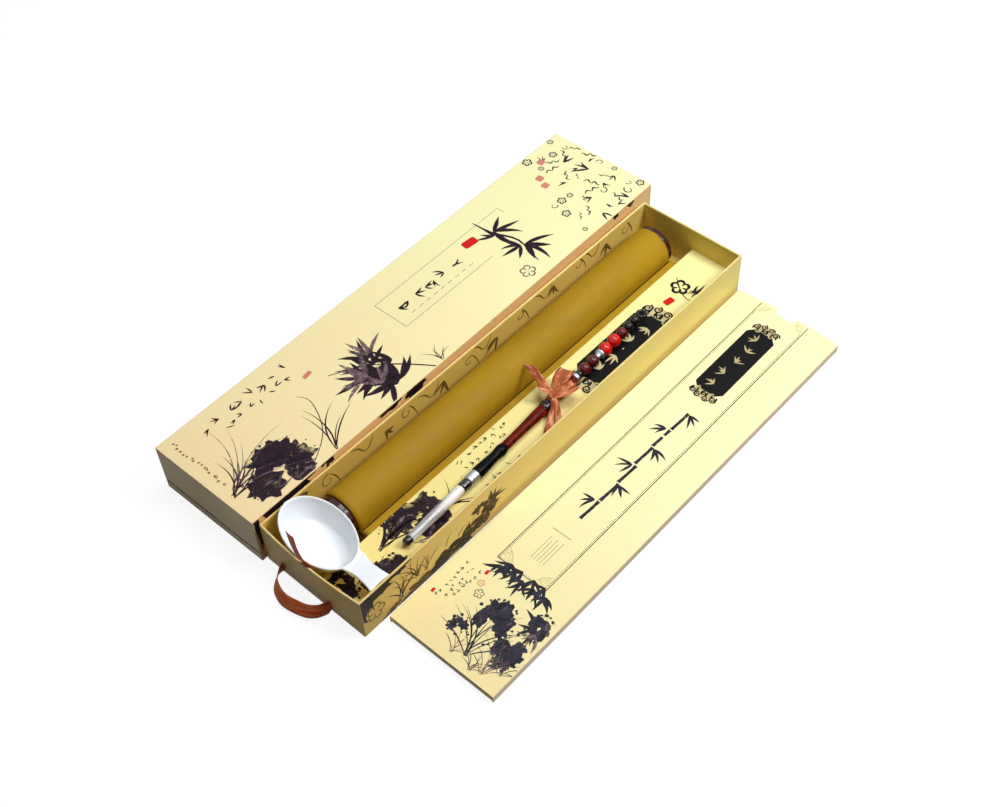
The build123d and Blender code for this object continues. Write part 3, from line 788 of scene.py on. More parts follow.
class BrushSettings(bpy.types.PropertyGroup):
    tip: lengths("Tip", "End of the cap's plug", 0.033, -0.1674, 0.0282136)
    axis: lengths("Axis", "Direction from the plug to the beads", -0.037516, 0.999294, 0.002219,
                  kind="DIRECTION")
    hairs: IntProperty(name="Hairs", description="Loose strands drawn over the head", default=170)


class BowSettings(bpy.types.PropertyGroup):
    knot: lengths("Knot", "Middle of the knot", 0.026229, 0.012958, 0.035264)
    thickness: length("Thickness", "Of the satin", 0.00045)


class PrintSettings(bpy.types.PropertyGroup):
    lift: length("Lift", "Height of the print above the paper", 0.00003)
    seed: IntProperty(name="Seed", description="Varies the brushwork", default=7)


PARTS = {
    "palette": PaletteSettings, "camera": CameraSettings, "light": LightSettings, "tray": TraySettings,
    "sleeve": SleeveSettings, "folder": FolderSettings, "cloth": ClothSettings, "dish": DishSettings,
    "brush": BrushSettings, "bow": BowSettings, "prints": PrintSettings,
}


class SetSettings(bpy.types.PropertyGroup):
    __annotations__ = {part: PointerProperty(type=group) for part, group in PARTS.items()}


def settings():
    return bpy.context.scene.calligraphy_set


def own_properties(group):
    return [key for key in group.bl_rna.properties.keys() if key not in {"rna_type", "name"}]


def material(name):
    return bpy.data.materials["look_" + name]


def turned_frame(corner, turn):
    """Matrix of a part's own frame, from its corner and its turn about Z."""
    return Matrix.Translation(corner) @ Matrix.Rotation(turn, 4, "Z")


# --- camera, lights and floor

def make_camera():
    s = settings().camera
    az, el = s.azimuth, s.elevation
    back = Vector((sin(az) * cos(el), -cos(az) * cos(el), sin(el)))
    right = Vector((0, 0, 1)).cross(back).normalized()
    up = back.cross(right)
    c, sn = cos(s.roll), sin(s.roll)
    right, up = right * c + up * sn, up * c - right * sn
    eye = Vector(s.target) + back * s.distance
    data = bpy.data.cameras.new("camera")
    data.lens = s.lens
    data.sensor_width = 36
    data.sensor_fit = "HORIZONTAL"
    data.clip_start = 0.01
    camera = add_object("camera", data)
    camera.matrix_world = basis(right, up, back, eye)
    bpy.context.scene.camera = camera


def area_light(name, place, target, size, power, colour=(1, 1, 1)):
    data = bpy.data.lights.new(name, "AREA")
    data.shape = "RECTANGLE"
    data.size = data.size_y = size
    data.energy = power
    data.color = colour
    lamp = add_object(name, data)
    lamp.location = place
    lamp.rotation_euler = (Vector(target) - Vector(place)).to_track_quat("-Z", "Y").to_euler()


def make_lights():
    s = settings().light
    bpy.context.scene.view_settings.view_transform = "Standard"
    area_light("key", (0.88, 0.66, 1.32), (0, 0.03, 0), 0.5, s.key, (1, 0.985, 0.96))
    area_light("top", (0.1, 0.25, 1.7), (0, 0, 0), 0.8, s.top)
    world = bpy.context.scene.world or bpy.data.worlds.new("world")
    bpy.context.scene.world = world
    world.use_nodes = True
    net = Net(world.node_tree)
    background = world.node_tree.nodes["Background"].inputs
    net.put((1, 1, 1, 1), background["Color"])
    net.put(net.remap(net.seen(), 0, 1, s.fill, 1), background["Strength"])


def make_floor():
    bm = bmesh.new()
    bmesh.ops.create_grid(bm, x_segments=1, y_segments=1, size=12)
    mesh = bpy.data.meshes.new("floor")
    bm.to_mesh(mesh)
    bm.free()
    net = Look("floor")
    net.finish({"Base Color": (0.2, 0.19, 0.18, 1), "Roughness": 0.9, "Specular IOR Level": 0,
                "Emission Color": (1, 1, 1, 1),
                "Emission Strength": net.times(net.seen(), settings().light.floor)})
    mesh.materials.append(material("floor"))
    floor = add_object("floor", mesh)
    floor.location = (0, 0, -0.0002)


# --- tray

SLITS = (-34.5, 18.5)
SLIT_TOP = 14.6
SLIT_FOOT = 1.6
LINING_SLIT_FOOT = 8


def near_bow(x, half, z, s):
    return s.bow / MM * max(0, 1 - (x / half) ** 2) * z / (s.size[2] / MM)


def tray_outline(s):
    """Function giving the outline's point at a station, inset and height, and the count of stations."""
    corner = 0.9
    half_x, half_y = s.size[0] / 2 / MM, s.size[1] / 2 / MM
    near = [-44, -36, -33, -26, -18, -10, -2, 6, 12, 17, 20, 28, 36, 44]
    turns = steps(0, 90, 4)
    stations = (
        [("near", x) for x in [-1e3] + near] + [("arc", (1, -1, -90 + a)) for a in turns]
        + [("right", t) for t in steps(-0.96, 0.96, 12)] + [("arc", (1, 1, a)) for a in turns]
        + [("far", t) for t in steps(0.9, -0.9, 6)] + [("arc", (-1, 1, 90 + a)) for a in turns]
        + [("left", t) for t in steps(0.96, -0.96, 12)] + [("arc", (-1, -1, 180 + a)) for a in turns[:-1]]
    )

    def point(k, inset, z):
        kind, at = stations[k % len(stations)]
        X, Y = half_x - inset, half_y - inset
        r = max(corner - inset, 0.25)
        if kind == "near":
            x = max(at, -X + r)
            return (x, -Y - near_bow(x, X, z, s), z)
        if kind == "far":
            return (at * (X - r), Y, z)
        if kind == "right":
            return (X, at * (Y - r), z)
        if kind == "left":
            return (-X, at * (Y - r), z)
        sx, sy, a = at
        a = radians(a)
        return (sx * (X - r) + r * cos(a), sy * (Y - r) + r * sin(a), z)
    return point, len(stations)


def cut_slits(bm, low):
    """Opens the slits of the near wall from the given height up."""
    drop_faces(bm, lambda c: c.y < -200 and low < c.z < SLIT_TOP and any(abs(c.x - x) < 1.4 for x in SLITS))


def join_slits(bm):
    """Joins the outer and inner edges of each slit."""
    for x in SLITS:
        rim = []
        for e in bm.edges:
            middle = (e.verts[0].co + e.verts[1].co) / 2 / MM
            if e.is_boundary and middle.y < -200 and abs(middle.x - x) < 2.2:
                rim.append(e)
        bmesh.ops.bridge_loops(bm, edges=rim)


def make_tray():
    s = settings().tray
    point, count = tray_outline(s)
    wall, top = s.wall / MM, s.size[2] / MM
    skin = 0.16
    profile = [(0, 0.3), (0, SLIT_FOOT), (0, LINING_SLIT_FOOT), (0, SLIT_TOP), (0, 30), (0, 44.3),
               (0.14, 44.85), (0.5, 45.2), (0.9, 45.3), (wall - 0.9, 45.3), (wall - 0.5, 45.2),
               (wall - 0.14, 44.85), (wall, 44.3), (wall, 42.2)]
    back = [(wall - skin, 42.2), (wall - skin, 44.3), (wall - 0.8, 45.3 - skin), (0.8, 45.3 - skin),
            (skin, 44.3), (skin, 30), (skin, SLIT_TOP), (skin, LINING_SLIT_FOOT), (skin, SLIT_FOOT),
            (skin, 0.3)]
    closed = profile + back + profile[:1]
    bm = bmesh.new()
    surface(bm, range(count + 1), closed, lambda k, p: point(k, *p))
    merge(bm)
    cut_slits(bm, SLIT_FOOT)
    join_slits(bm)
    true_flats(finish_piece("tray_paper_outside", bm, "tray_paper", "tray", ["tray_wrap"], "wrap_paper"))

    inset = floor = wall + 0.07
    rows = [(inset, 43.6), (inset, 30), (inset, SLIT_TOP), (inset, LINING_SLIT_FOOT), (inset, floor + 0.9),
            (inset + 0.26, floor + 0.26), (inset + 0.9, floor), (inset + 8, floor), (inset + 20, floor),
            (inset + 38, floor), (top + 6.9, floor)]
    bm = bmesh.new()
    surface(bm, range(count + 1), rows, lambda k, p: point(k, *p))
    merge(bm)
    cut_slits(bm, LINING_SLIT_FOOT)
    face_up(bm)
    obj = finish_piece("tray_paper_inside", bm, "lining_paper", "tray", ["tray_lining"], weld=False)
    thicken(obj, 0.12)
    true_flats(obj)


def make_platform():
    s = settings().tray
    left, right, high, low = s.step_left / MM, s.step_right / MM, s.step_top / MM, s.wall / MM
    near, far = -232.86, 232.86
    r = 0.9
    arc = [(1 - cos(a), sin(a)) for a in steps(0, pi / 2, 5)]
    path = [(left, low), (left, 18.5)] + [(left + r * a, high - r + r * b) for a, b in arc]
    path += [(left + (right - left) * t, high) for t in (0.25, 0.5, 0.75)]
    path += [(right - r * a, high - r + r * b) for a, b in reversed(arc)] + [(right, low)]
    stations = [near, near + 0.8, near + 11] + steps(near + 30, far - 0.8, 16) + [far]
    bm = bmesh.new()

    def point(p, y):
        sag = -0.18 * sin(pi * (p[0] - left) / (right - left)) * (0.6 + 0.4 * sin(y * 0.045))
        return (p[0], y, p[1] + (sag if p[1] > high - 0.01 else 0))
    surface(bm, path, stations, point)
    drop_faces(bm, lambda c: c.x < left + 0.2 and c.y < near + 11 and c.z < 18.5)
    face_up(bm)
    obj = finish_piece("platform_paper", bm, "step_paper", "tray", ["platform_wrap"])
    thicken(obj, 0.14)
    true_flats(obj)


# --- sleeve and its end flap

def boxed(bm, low, high):
    for v in bmesh.ops.create_cube(bm, size=1)["verts"]:
        v.co = Vector(((a + (b - a) * (c + 0.5)) * MM for a, b, c in zip(low, high, v.co)))


def make_sleeve():
    s = settings().sleeve
    w, l, h = mm(s.size)
    at = turned_frame(s.corner, s.turn)
    lip, slit = s.lip / MM, s.slit / MM
    bm = bmesh.new()
    boxed(bm, (-w, 0, 0.3), (0, l, h))
    slice_at(bm, (0, 0, lip), (0, 0, 1))
    slice_at(bm, (0, 2.27, 0), (0, 1, 0))
    drop_faces(bm, lambda c: c.z < 0.31 or (c.y < 2.26 and lip < c.z < h - 0.01))
    round_cube(bm, [e for e in bm.edges if not e.is_boundary and e.calc_face_angle(0) > 1], 0.8)
    for y in steps(60, 440, 7):
        slice_at(bm, (0, y, 0), (0, 1, 0))
    obj = finish_piece("sleeve_paper", bm, "wrap_paper", "sleeve", ["sleeve_wrap"], at=at)
    thicken(obj, 0.15)
    true_flats(obj)

    bm = bmesh.new()
    boxed(bm, (-w, 0, lip + slit), (0, 1.9, h - 0.17))
    round_cube(bm, bm.edges[:], 0.55)
    true_flats(finish_piece("end_flap_paper", bm, "wrap_paper", "end_flap", ["flap_wrap"], at=at))


# --- folder

def folder_top(s, x, y):
    """Height of the folder's outside top at a local point in mm."""
    w, l, h = mm(s.size)
    share = y / l
    rise = 0.2 * share / 0.6 if share < 0.6 else 0.2 + 0.8 * (share - 0.6) / 0.4
    t = min(max(x / w, 0), 1)
    return h + 4 * t * (1 - t) * s.bulge / MM * rise


def notch_cut(s, x, w):
    a, b = s.notch[0] / 2 / MM, s.notch[1] / MM
    t = abs(x - w / 2) / a
    return b * sqrt(1 - t * t) if t < 1 else 0


def make_folder():
    s = settings().folder
    w, l, h = mm(s.size)
    c = s.card / MM
    ends = [t * t * (3 - 2 * t) for t in steps(0, 1, 14)]
    notch = [w / 2 + (e * 2 - 1) * s.notch[0] / 2 / MM for e in ends]
    across = [0.9] + steps(6, notch[0] - 3, 4) + notch + steps(notch[-1] + 3, w - 6, 4) + [w - 0.9]

    def ring(inset):
        r = 0.9 - min(inset, 0.6)
        lo, hi = inset, h - inset
        made = [(x, lo, x) for x in across]
        made += [(w - inset - r + r * sin(a), lo + r - r * cos(a), None) for a in steps(0.35, pi / 2, 3)]
        made += [(w - inset - r + r * cos(a), hi - r + r * sin(a), None) for a in steps(0, pi / 2 - 0.35, 3)]
        made += [(x, hi, x) for x in reversed(across)]
        made += [(inset + r - r * sin(a), hi - r + r * cos(a), None) for a in steps(0.35, pi / 2, 3)]
        made += [(inset + r - r * cos(a), lo + r - r * sin(a), None) for a in steps(0, pi / 2 - 0.35, 3)]
        return made
    stations = [0, 14.25 / l] + steps(0.08, 0.6, 10) + steps(0.645, 0.96, 7) + [0.985, 1]
    rings = {0: ring(0), 1: ring(c)}
    n = len(rings[0])

    def place(k, side):
        x, z, cut = rings[side[0]][k % n]
        y = side[1] * (l - (notch_cut(s, cut, w) if cut is not None else 0))
        if z > h / 2:
            z += folder_top(s, x, y) - h
        return (x, y, z)
    walk = [(0, t) for t in stations] + [(1, t) for t in reversed(stations)]
    bm = bmesh.new()
    rows = surface(bm, range(n + 1), walk, place)
    inner_near, outer_near = rows[-1], rows[0]
    for k in range(n):
        bm.faces.new((outer_near[k], outer_near[k + 1], inner_near[k + 1], inner_near[k]))
    merge(bm)
    drop_faces(bm, lambda f: f.z < c + 0.05 and f.y < 14.2 and c + 0.05 < f.x < w - c - 0.05)
    bmesh.ops.recalc_face_normals(bm, faces=bm.faces)
    true_flats(finish_piece("folder_sleeve", bm, "folder_card", "folder", ["folder_tube"],
                            at=turned_frame(s.corner, s.turn), weld=False))


# --- prints

EDGES = (-1, -0.7, 0, 0.7, 1)
WALL = Matrix(((0, 0, 1, 0), (1, 0, 0, 0), (0, 1, 0, 0), (0, 0, 0, 1)))


def around(centre, rx, ry, a):
    """Point of an ellipse at an angle in radians."""
    return (centre[0] + rx * cos(a), centre[1] + ry * sin(a))


def shifted(centre, x, y, a):
    """Point moved by x and y along axes turned by an angle in radians."""
    c, s = cos(a), sin(a)
    return (centre[0] + x * c - y * s, centre[1] + x * s + y * c)


class Print:
    """Printed marks of one colour on one flat face, drawn in mm across and along it."""

    def __init__(self, name, look, body, at, level=0, limits=None, rng=None, height=None):
        self.name, self.look, self.body, self.at, self.rng = name, look, body, at, rng
        self.level, self.limits = settings().prints.lift / MM * (1 + level), limits
        self.height = height or (lambda x, y: 0)
        self.bm = bmesh.new()
        self.ink = self.bm.verts.layers.float.new("ink")
        self.marks = 0

    def patch(self, us, vs, point, ink):
        self.marks += 1
        rise = self.level + 0.0003 * (self.marks % 60)

        def place(u, v):
            x, y = point(u, v)
            return (x, y, self.height(x, y) + rise)
        rows = surface(self.bm, us, vs, place)
        for row, v in zip(rows, vs):
            for vert, u in zip(row, us):
                vert[self.ink] = ink(u, v)

    def stroke(self, points, ink=1, per=4):
        """Brush stroke through (x, y, width) points."""
        line = smooth_line(points, per)

        def point(u, k):
            a, b = line[max(0, k - 1)], line[min(len(line) - 1, k + 1)]
            dx, dy = b[0] - a[0], b[1] - a[1]
            d = hypot(dx, dy) or 1
            x, y, w = line[k]
            return (x - dy / d * u * w / 2, y + dx / d * u * w / 2)
        self.patch(EDGES, range(len(line)), point,
                   lambda u, k: 0 if abs(u) > 0.9 else ink * (1 if abs(u) < 0.5 else 0.9))

    def leaf(self, root, length, turn, width, bend, ink=1):
        """Pointed leaf drawn from its root."""
        self.stroke([(*shifted(root, t * length, bend * length * 4 * t * (1 - t), radians(turn)),
                      width * sin(pi * min(1, 0.06 + t * 0.94) ** 0.8) + 0.12)
                     for t in steps(0, 1, 5)], ink, 2)

    def blot(self, centre, size, turn, seed, ragged, ink, sides=26):
        """Rounded patch with a ragged rim."""
        def point(k, r):
            t = 2 * pi * (k % sides) / sides
            spread = 1 + ragged * 2 * noise.noise(Vector((cos(t) * 2.1, sin(t) * 2.1, seed * 3.7)))
            spread += ragged * noise.noise(Vector((cos(t) * 6, sin(t) * 6, seed * 1.3)))
            x, y = cos(t) * r * spread * size[0] / 2, sin(t) * r * spread * size[1] / 2
            return shifted(centre, x, y, radians(turn))
        self.patch(range(sides + 1), (1, 0.86, 0.5, 0.02), point, lambda k, r: 0 if r > 0.9 else ink)

    def block(self, x0, y0, x1, y1):
        self.patch((x0, x1), (y0, y1), lambda x, y: (x, y), lambda x, y: 1)

    def plate(self, outline, middle):
        """Solid shape with a star-like outline about its middle."""
        def point(k, r):
            return tuple(m + (p - m) * r for p, m in zip(outline[k % len(outline)], middle))
        self.patch(range(len(outline) + 1), (1, 0.02), point, lambda k, r: 1)

    def curl(self, centre, radius, turn, side, width, rounds=1.4):
        """Curl of a cloud ornament."""
        line = []
        for t in steps(0, 1, 12):
            r = radius * (1 - 0.75 * t)
            a = radians(turn) + side * t * rounds * 2 * pi
            line.append((*around(centre, r, r, a), width * (1 - 0.4 * t)))
        self.stroke(line, 1, 1)

    def finish(self):
        for x, y, nx, ny in self.limits or ():
            slice_at(self.bm, (x, y, 0), (nx, ny, 0), True)
        finish_piece(self.name, self.bm, self.look, self.body, at=self.at, weld=False)


def pens(prefix, body, at, limits, rng, looks, height=None):
    """One print for each name and look, each a little above the last, sharing their random numbers."""
    return [Print(prefix + name, look, body, at, k, limits, rng, height)
            for k, (name, look) in enumerate(looks)]


def finish_all(prints):
    for p in prints:
        p.finish()


def limits(x0, y0, x1, y1):
    return [(x0, 0, -1, 0), (x1, 0, 1, 0), (0, y0, 0, -1), (0, y1, 0, 1)]


def sprig(ink, at, size, turn, count):
    """A few leaves fanned out from one joint."""
    rng = ink.rng
    for k in range(count):
        spread = (k - (count - 1) / 2) * 34 + rng.uniform(-9, 9)
        ink.leaf(at, size * rng.uniform(0.65, 1.05), turn + spread, size * rng.uniform(0.17, 0.24),
                 rng.uniform(-0.1, 0.1))


def falling_leaves(ink, x, y0, y1, size, step=1.9):
    """Column of small leaf marks."""
    rng = ink.rng
    y = y0
    while y < y1:
        sprig(ink, (x + rng.uniform(-0.12, 0.12) * size, y), size,
              rng.choice((60, 110, 200, 250, 290, 340)), rng.choice((1, 2, 2, 3)))
        y += size * rng.uniform(0.8, 1.1) * step / 1.5


def orchid(ink, root, length, count, lean, spread, width):
    """Tuft of long arching leaves."""
    rng = ink.rng
    for k in range(count):
        turn = lean + spread * (2 * (k + 0.5) / count - 1) + rng.uniform(-8, 8)
        bend = copysign(rng.uniform(0.05, 0.16), turn - lean)
        ink.leaf((root[0] + rng.uniform(-2, 2), root[1] + rng.uniform(-1, 1)),
                 length * rng.uniform(0.6, 1.05), turn, width * rng.uniform(0.7, 1.2), -bend)


def rock(ink, wash, centre, size, seed):
    """Garden rock in wet ink with dry streaks over it."""
    rng = ink.rng
    w, l = size
    for k in range(6):
        a = rng.uniform(0, 2 * pi)
        at = around(centre, 0.27 * w, 0.27 * l, a)
        ink.blot(at, (w * rng.uniform(0.36, 0.58), l * rng.uniform(0.36, 0.55)), rng.uniform(0, 180),
                 seed + k, 0.28, rng.uniform(0.78, 1))
    for k in range(9):
        a = rng.uniform(0, 2 * pi)
        at = around(centre, 0.3 * w, 0.3 * l, a)
        wash.leaf(at, l * rng.uniform(0.12, 0.3), rng.uniform(40, 140), w * rng.uniform(0.03, 0.07),
                  rng.uniform(-0.2, 0.2), 0.9)
    for k in range(14):
        a = rng.uniform(0, 2 * pi)
        at = around(centre, 0.5 * w, 0.5 * l, a)
        ink.blot(at, (rng.uniform(1.2, 3.4),) * 2, 0, seed + 20 + k, 0.4, 0.9, 12)


def bamboo_clump(ink, wash, centre, size, lean, count):
    """Dense bamboo leaves over a pale ground of the same."""
    rng = ink.rng
    w, l = size
    for k in range(count):
        at = (centre[0] + rng.uniform(-0.34, 0.34) * w, centre[1] + rng.uniform(-0.3, 0.3) * l)
        pen = wash if k % 4 == 0 else ink
        sprig(pen, at, rng.uniform(0.42, 0.62) * l, lean + rng.uniform(-50, 50), 4)


def stalk(ink, x, y0, y1, width, parts):
    """Bamboo stalk: segments waisted in the middle, a gap at each joint, leaves at the joints."""
    step = (y1 - y0) / parts
    for k in range(parts):
        a, b = y0 + k * step + 0.6, y0 + (k + 1) * step - 0.6
        lean = 1.1 * sin(1.3 * k)
        ink.stroke([(x + lean, a, width * 1.15), (x + lean, a + 2.5, width * 0.9),
                    (x + lean + 0.5, (a + b) / 2, width * 0.84), (x + lean + 0.8, b - 2.5, width * 0.9),
                    (x + lean + 1, b, width * 1.2)], 0.92)
        side = 1 if k % 2 else -1
        sprig(ink, (x + lean + side * width * 0.6, b - 1), step * 0.62, 270 + side * 52, 3)


def blossom(pen, ink, at, radius, width=0.1):
    """Five-petalled blossom drawn in loops, with its stamens."""
    rng = pen.rng
    first = rng.uniform(0, 72)
    for k in range(5):
        a = radians(first + 72 * k)
        petal, loop = around(at, radius * 0.58, radius * 0.58, a), radius * 0.4
        pen.stroke([(*around(petal, loop, loop, a + t), radius * width * (1.3 + cos(t)))
                    for t in steps(-2.5, 2.5, 8)], 1, 2)
        ink.stroke([(*around(at, radius * share, radius * share, a + 0.6), w)
                    for share, w in ((0.1, 0.22), (0.55, 0.34))], 1, 2)


def scatter(pen, box, count, size):
    """Loose leaves, rings, curls and dashes strewn evenly over an area."""
    rng = pen.rng
    x0, y0, x1, y1 = box
    for k in range(count):
        x, y = x0 + (x1 - x0) * ((k * 0.7549 + 0.11) % 1), y0 + (y1 - y0) * ((k * 0.5698 + 0.27) % 1)
        r, t = size * rng.uniform(0.5, 1), rng.uniform(0, 360)
        kind = rng.choice(("leaf", "leaf", "curl", "dash", "dash", "ring"))
        if kind == "leaf":
            sprig(pen, (x, y), r * 1.1, t, rng.choice((2, 3)))
        elif kind == "curl":
            pen.curl((x, y), r * 0.4, t, rng.choice((-1, 1)), r * 0.13, rng.uniform(0.6, 0.9))
        elif kind == "ring":
            blossom(pen, pen, (x, y), r * 0.36, 0.2)
        else:
            dash = ((-1, 0.1, 0.03), (-0.55, -0.14, 0.15), (-0.1, 0.1, 0.08), (0.3, -0.1, 0.17),
                    (0.7, 0.12, 0.1), (1, 0, 0.02))
            pen.stroke([(*shifted((x, y), 0.6 * u * r, -v * r, radians(t)), r * w) for u, v, w in dash])


def seal(red, x, y, width, length, turn=0):
    """Blank red seal: a solid patch, nearly square, with softened corners."""
    def squared(v):
        return copysign(abs(v) ** 0.35, v)
    outline = [shifted((x, y), squared(cos(t)) * width / 2, squared(sin(t)) * length / 2, radians(turn))
               for t in steps(0, 2 * pi * 23 / 24, 23)]
    red.plate(outline, (x, y))


# curls of a label's cloud: place across and along, and radius, in shares of its width
CLOUD = ((-0.36, 0, 0.12), (-0.14, 0.09, 0.11), (0.14, 0.09, 0.11), (0.36, 0, 0.12), (-0.24, -0.14, 0.09),
         (0.24, -0.14, 0.09), (0, -0.06, 0.09))


def plaque(black, beige, dark, x, y0, y1, width):
    """Long black label with a cloud ornament at each end and small leaf marks down its middle."""
    rng = black.rng
    h, cut = width / 2, width * 0.16
    outline = []
    for sx, sy in ((1, 1), (-1, 1), (-1, -1), (1, -1)):
        y = y1 if sy > 0 else y0
        pair = [(x + sx * h, y - sy * cut * 2.2), (x + sx * (h - cut), y - sy * cut * 1.2),
                (x + sx * (h - cut * 1.3), y)]
        outline += pair if sx * sy > 0 else pair[::-1]
    black.plate(outline, (x, (y0 + y1) / 2))
    for y, s in ((y0, -1), (y1, 1)):
        beige.blot((x, y - s * width * 0.02), (width * 0.9, width * 0.34), 0, y, 0.1, 1)
        for k, (u, v, r) in enumerate(CLOUD):
            pen = dark if k < 4 or k == 6 else beige
            pen.curl((x + u * width, y + s * (v - 0.02) * width), width * r, 90 - 90 * (u > 0),
                     (1 if u > 0 else -1) * s, width * 0.055)
        for u in (-0.42, -0.25, -0.08, 0.08, 0.25, 0.42):
            dark.leaf((x + u * width, y - s * width * 0.16), width * 0.2, 90 * s + 12 * u, width * 0.07, 0.1)
    n = max(3, round((y1 - y0) / width / 0.52) - 1)
    for k in range(n):
        sprig(beige, (x + rng.uniform(-0.04, 0.04) * width, y0 + (y1 - y0) * (k + 1) / (n + 1)),
              width * 0.3, rng.uniform(60, 300), 4)


def mirror_corner(line, x, y, sx, sy, size):
    """Quarter fan of curls in a corner of a frame."""
    line.curl((x + sx * size * 0.42, y + sy * size * 0.42), size * 0.34, 45, sx * sy, 0.5)
    line.curl((x + sx * size * 0.8, y + sy * size * 0.26), size * 0.18, 0, -sx * sy, 0.4)
    line.curl((x + sx * size * 0.26, y + sy * size * 0.8), size * 0.18, 90, -sx * sy, 0.4)
    line.stroke([(x + sx * size * 1.15, y + sy * 0.6, 0.3), (x + sx * size * 0.8, y + sy * size * 0.6, 0.6),
                 (x + sx * size * 0.6, y + sy * size * 0.8, 0.6), (x + sx * 0.6, y + sy * size * 1.15, 0.3)])


def print_sleeve():
    s = settings().sleeve
    w, l, h = mm(s.size)
    at = turned_frame(s.corner, s.turn) @ Matrix.Translation((0, 0, s.size[2]))
    edge = limits(-w + 0.9, 0.9, -0.9, l - 0.9)
    rng = random.Random(settings().prints.seed)
    looks = (("ink", "ink"), ("wash", "ink_wash"), ("seals", "seal_red"), ("lines", "frame_line"),
             ("blossoms", "blossom"))
    sheet = ink, wash, red, line, petal = pens("sleeve_", "sleeve", at, edge, rng, looks)
    # near end: rock and orchids
    orchid(wash, (-34, 12), 78, 8, 112, 46, 1.1)
    orchid(ink, (-30, 8), 58, 9, 118, 50, 1.7)
    rock(ink, wash, (-22, 50), (58, 66), 3)
    orchid(ink, (-3, 92), 52, 6, 150, 34, 1.3)
    ink.stroke([(-1, 62, 0.8), (-22, 96, 1), (-52, 112, 0.9), (-66, 108, 0.4)])
    # middle: bamboo leaves from the long edge
    ink.stroke([(-1, 205, 1.6), (-22, 190, 1.8), (-44, 170, 1.5), (-62, 140, 1)])
    bamboo_clump(ink, wash, (-33, 172), (66, 56), 215, 15)
    orchid(ink, (-2, 214), 22, 6, 160, 60, 0.8)
    # two columns of small marks with a seal
    falling_leaves(ink, -96, 40, 130, 9)
    falling_leaves(ink, -86, 50, 124, 7.5)
    for k in range(17):
        sprig(line, (-106 + 3.8 * k, 11 + 0.5 * (k % 2)), 3.4, rng.uniform(0, 360), 2)
    seal(petal, -76, 130, 4.2, 9, 8)
    # framed column
    for x0, y0, x1, y1 in ((-88, 221, -87.7, 379), (-88, 221, -50, 221.3), (-50.3, 221, -50, 330),
                           (-88, 379, -80, 379.3)):
        line.block(x0, y0, x1, y1)
    falling_leaves(ink, -70, 232, 318, 11, 1.6)
    for k in range(9):
        line.block(-58, 236 + 9 * k, -57.6, 241 + 9 * k)
    # bold bamboo sprays on a branch, with a seal
    ink.stroke([(-92, 350, 1.2), (-70, 352, 3.2), (-46, 360, 2.6), (-16, 352, 1)])
    for at_x, at_y, size, turn in ((-70, 354, 28, 60), (-66, 350, 18, 190), (-38, 360, 30, 20),
                                   (-40, 356, 24, 250)):
        sprig(ink, (at_x, at_y), size, turn, 4)
    blossom(wash, ink, (-14, 336), 7, 0.13)
    seal(red, -77, 330, 9, 15, -6)
    # far end: scattered leaves and pale seals
    scatter(ink, (-w + 4, 440, -3, l - 3), 34, 14)
    scatter(ink, (-56, 404, -3, 440), 9, 13)
    for x, y in ((-98, 452), (-84, 434), (-74, 430)):
        seal(petal, x, y, 7, 7, 4)
    finish_all(sheet)
    side = Print("sleeve_side_ink", "ink", "sleeve", turned_frame(s.corner, s.turn) @ WALL, 0,
                 limits(1.2, 2, l - 1, h - 0.9))
    for y, a, b in ((24, 26, 30), (52, 34, 22), (80, 14, 16), (150, 30, 14), (178, 36, 26), (440, 10, 12),
                    (462, 12, 16), (4, 6, 70)):
        side.blot((y, h), (a, b), 0, y, 0.35, 0.95)
    side.finish()


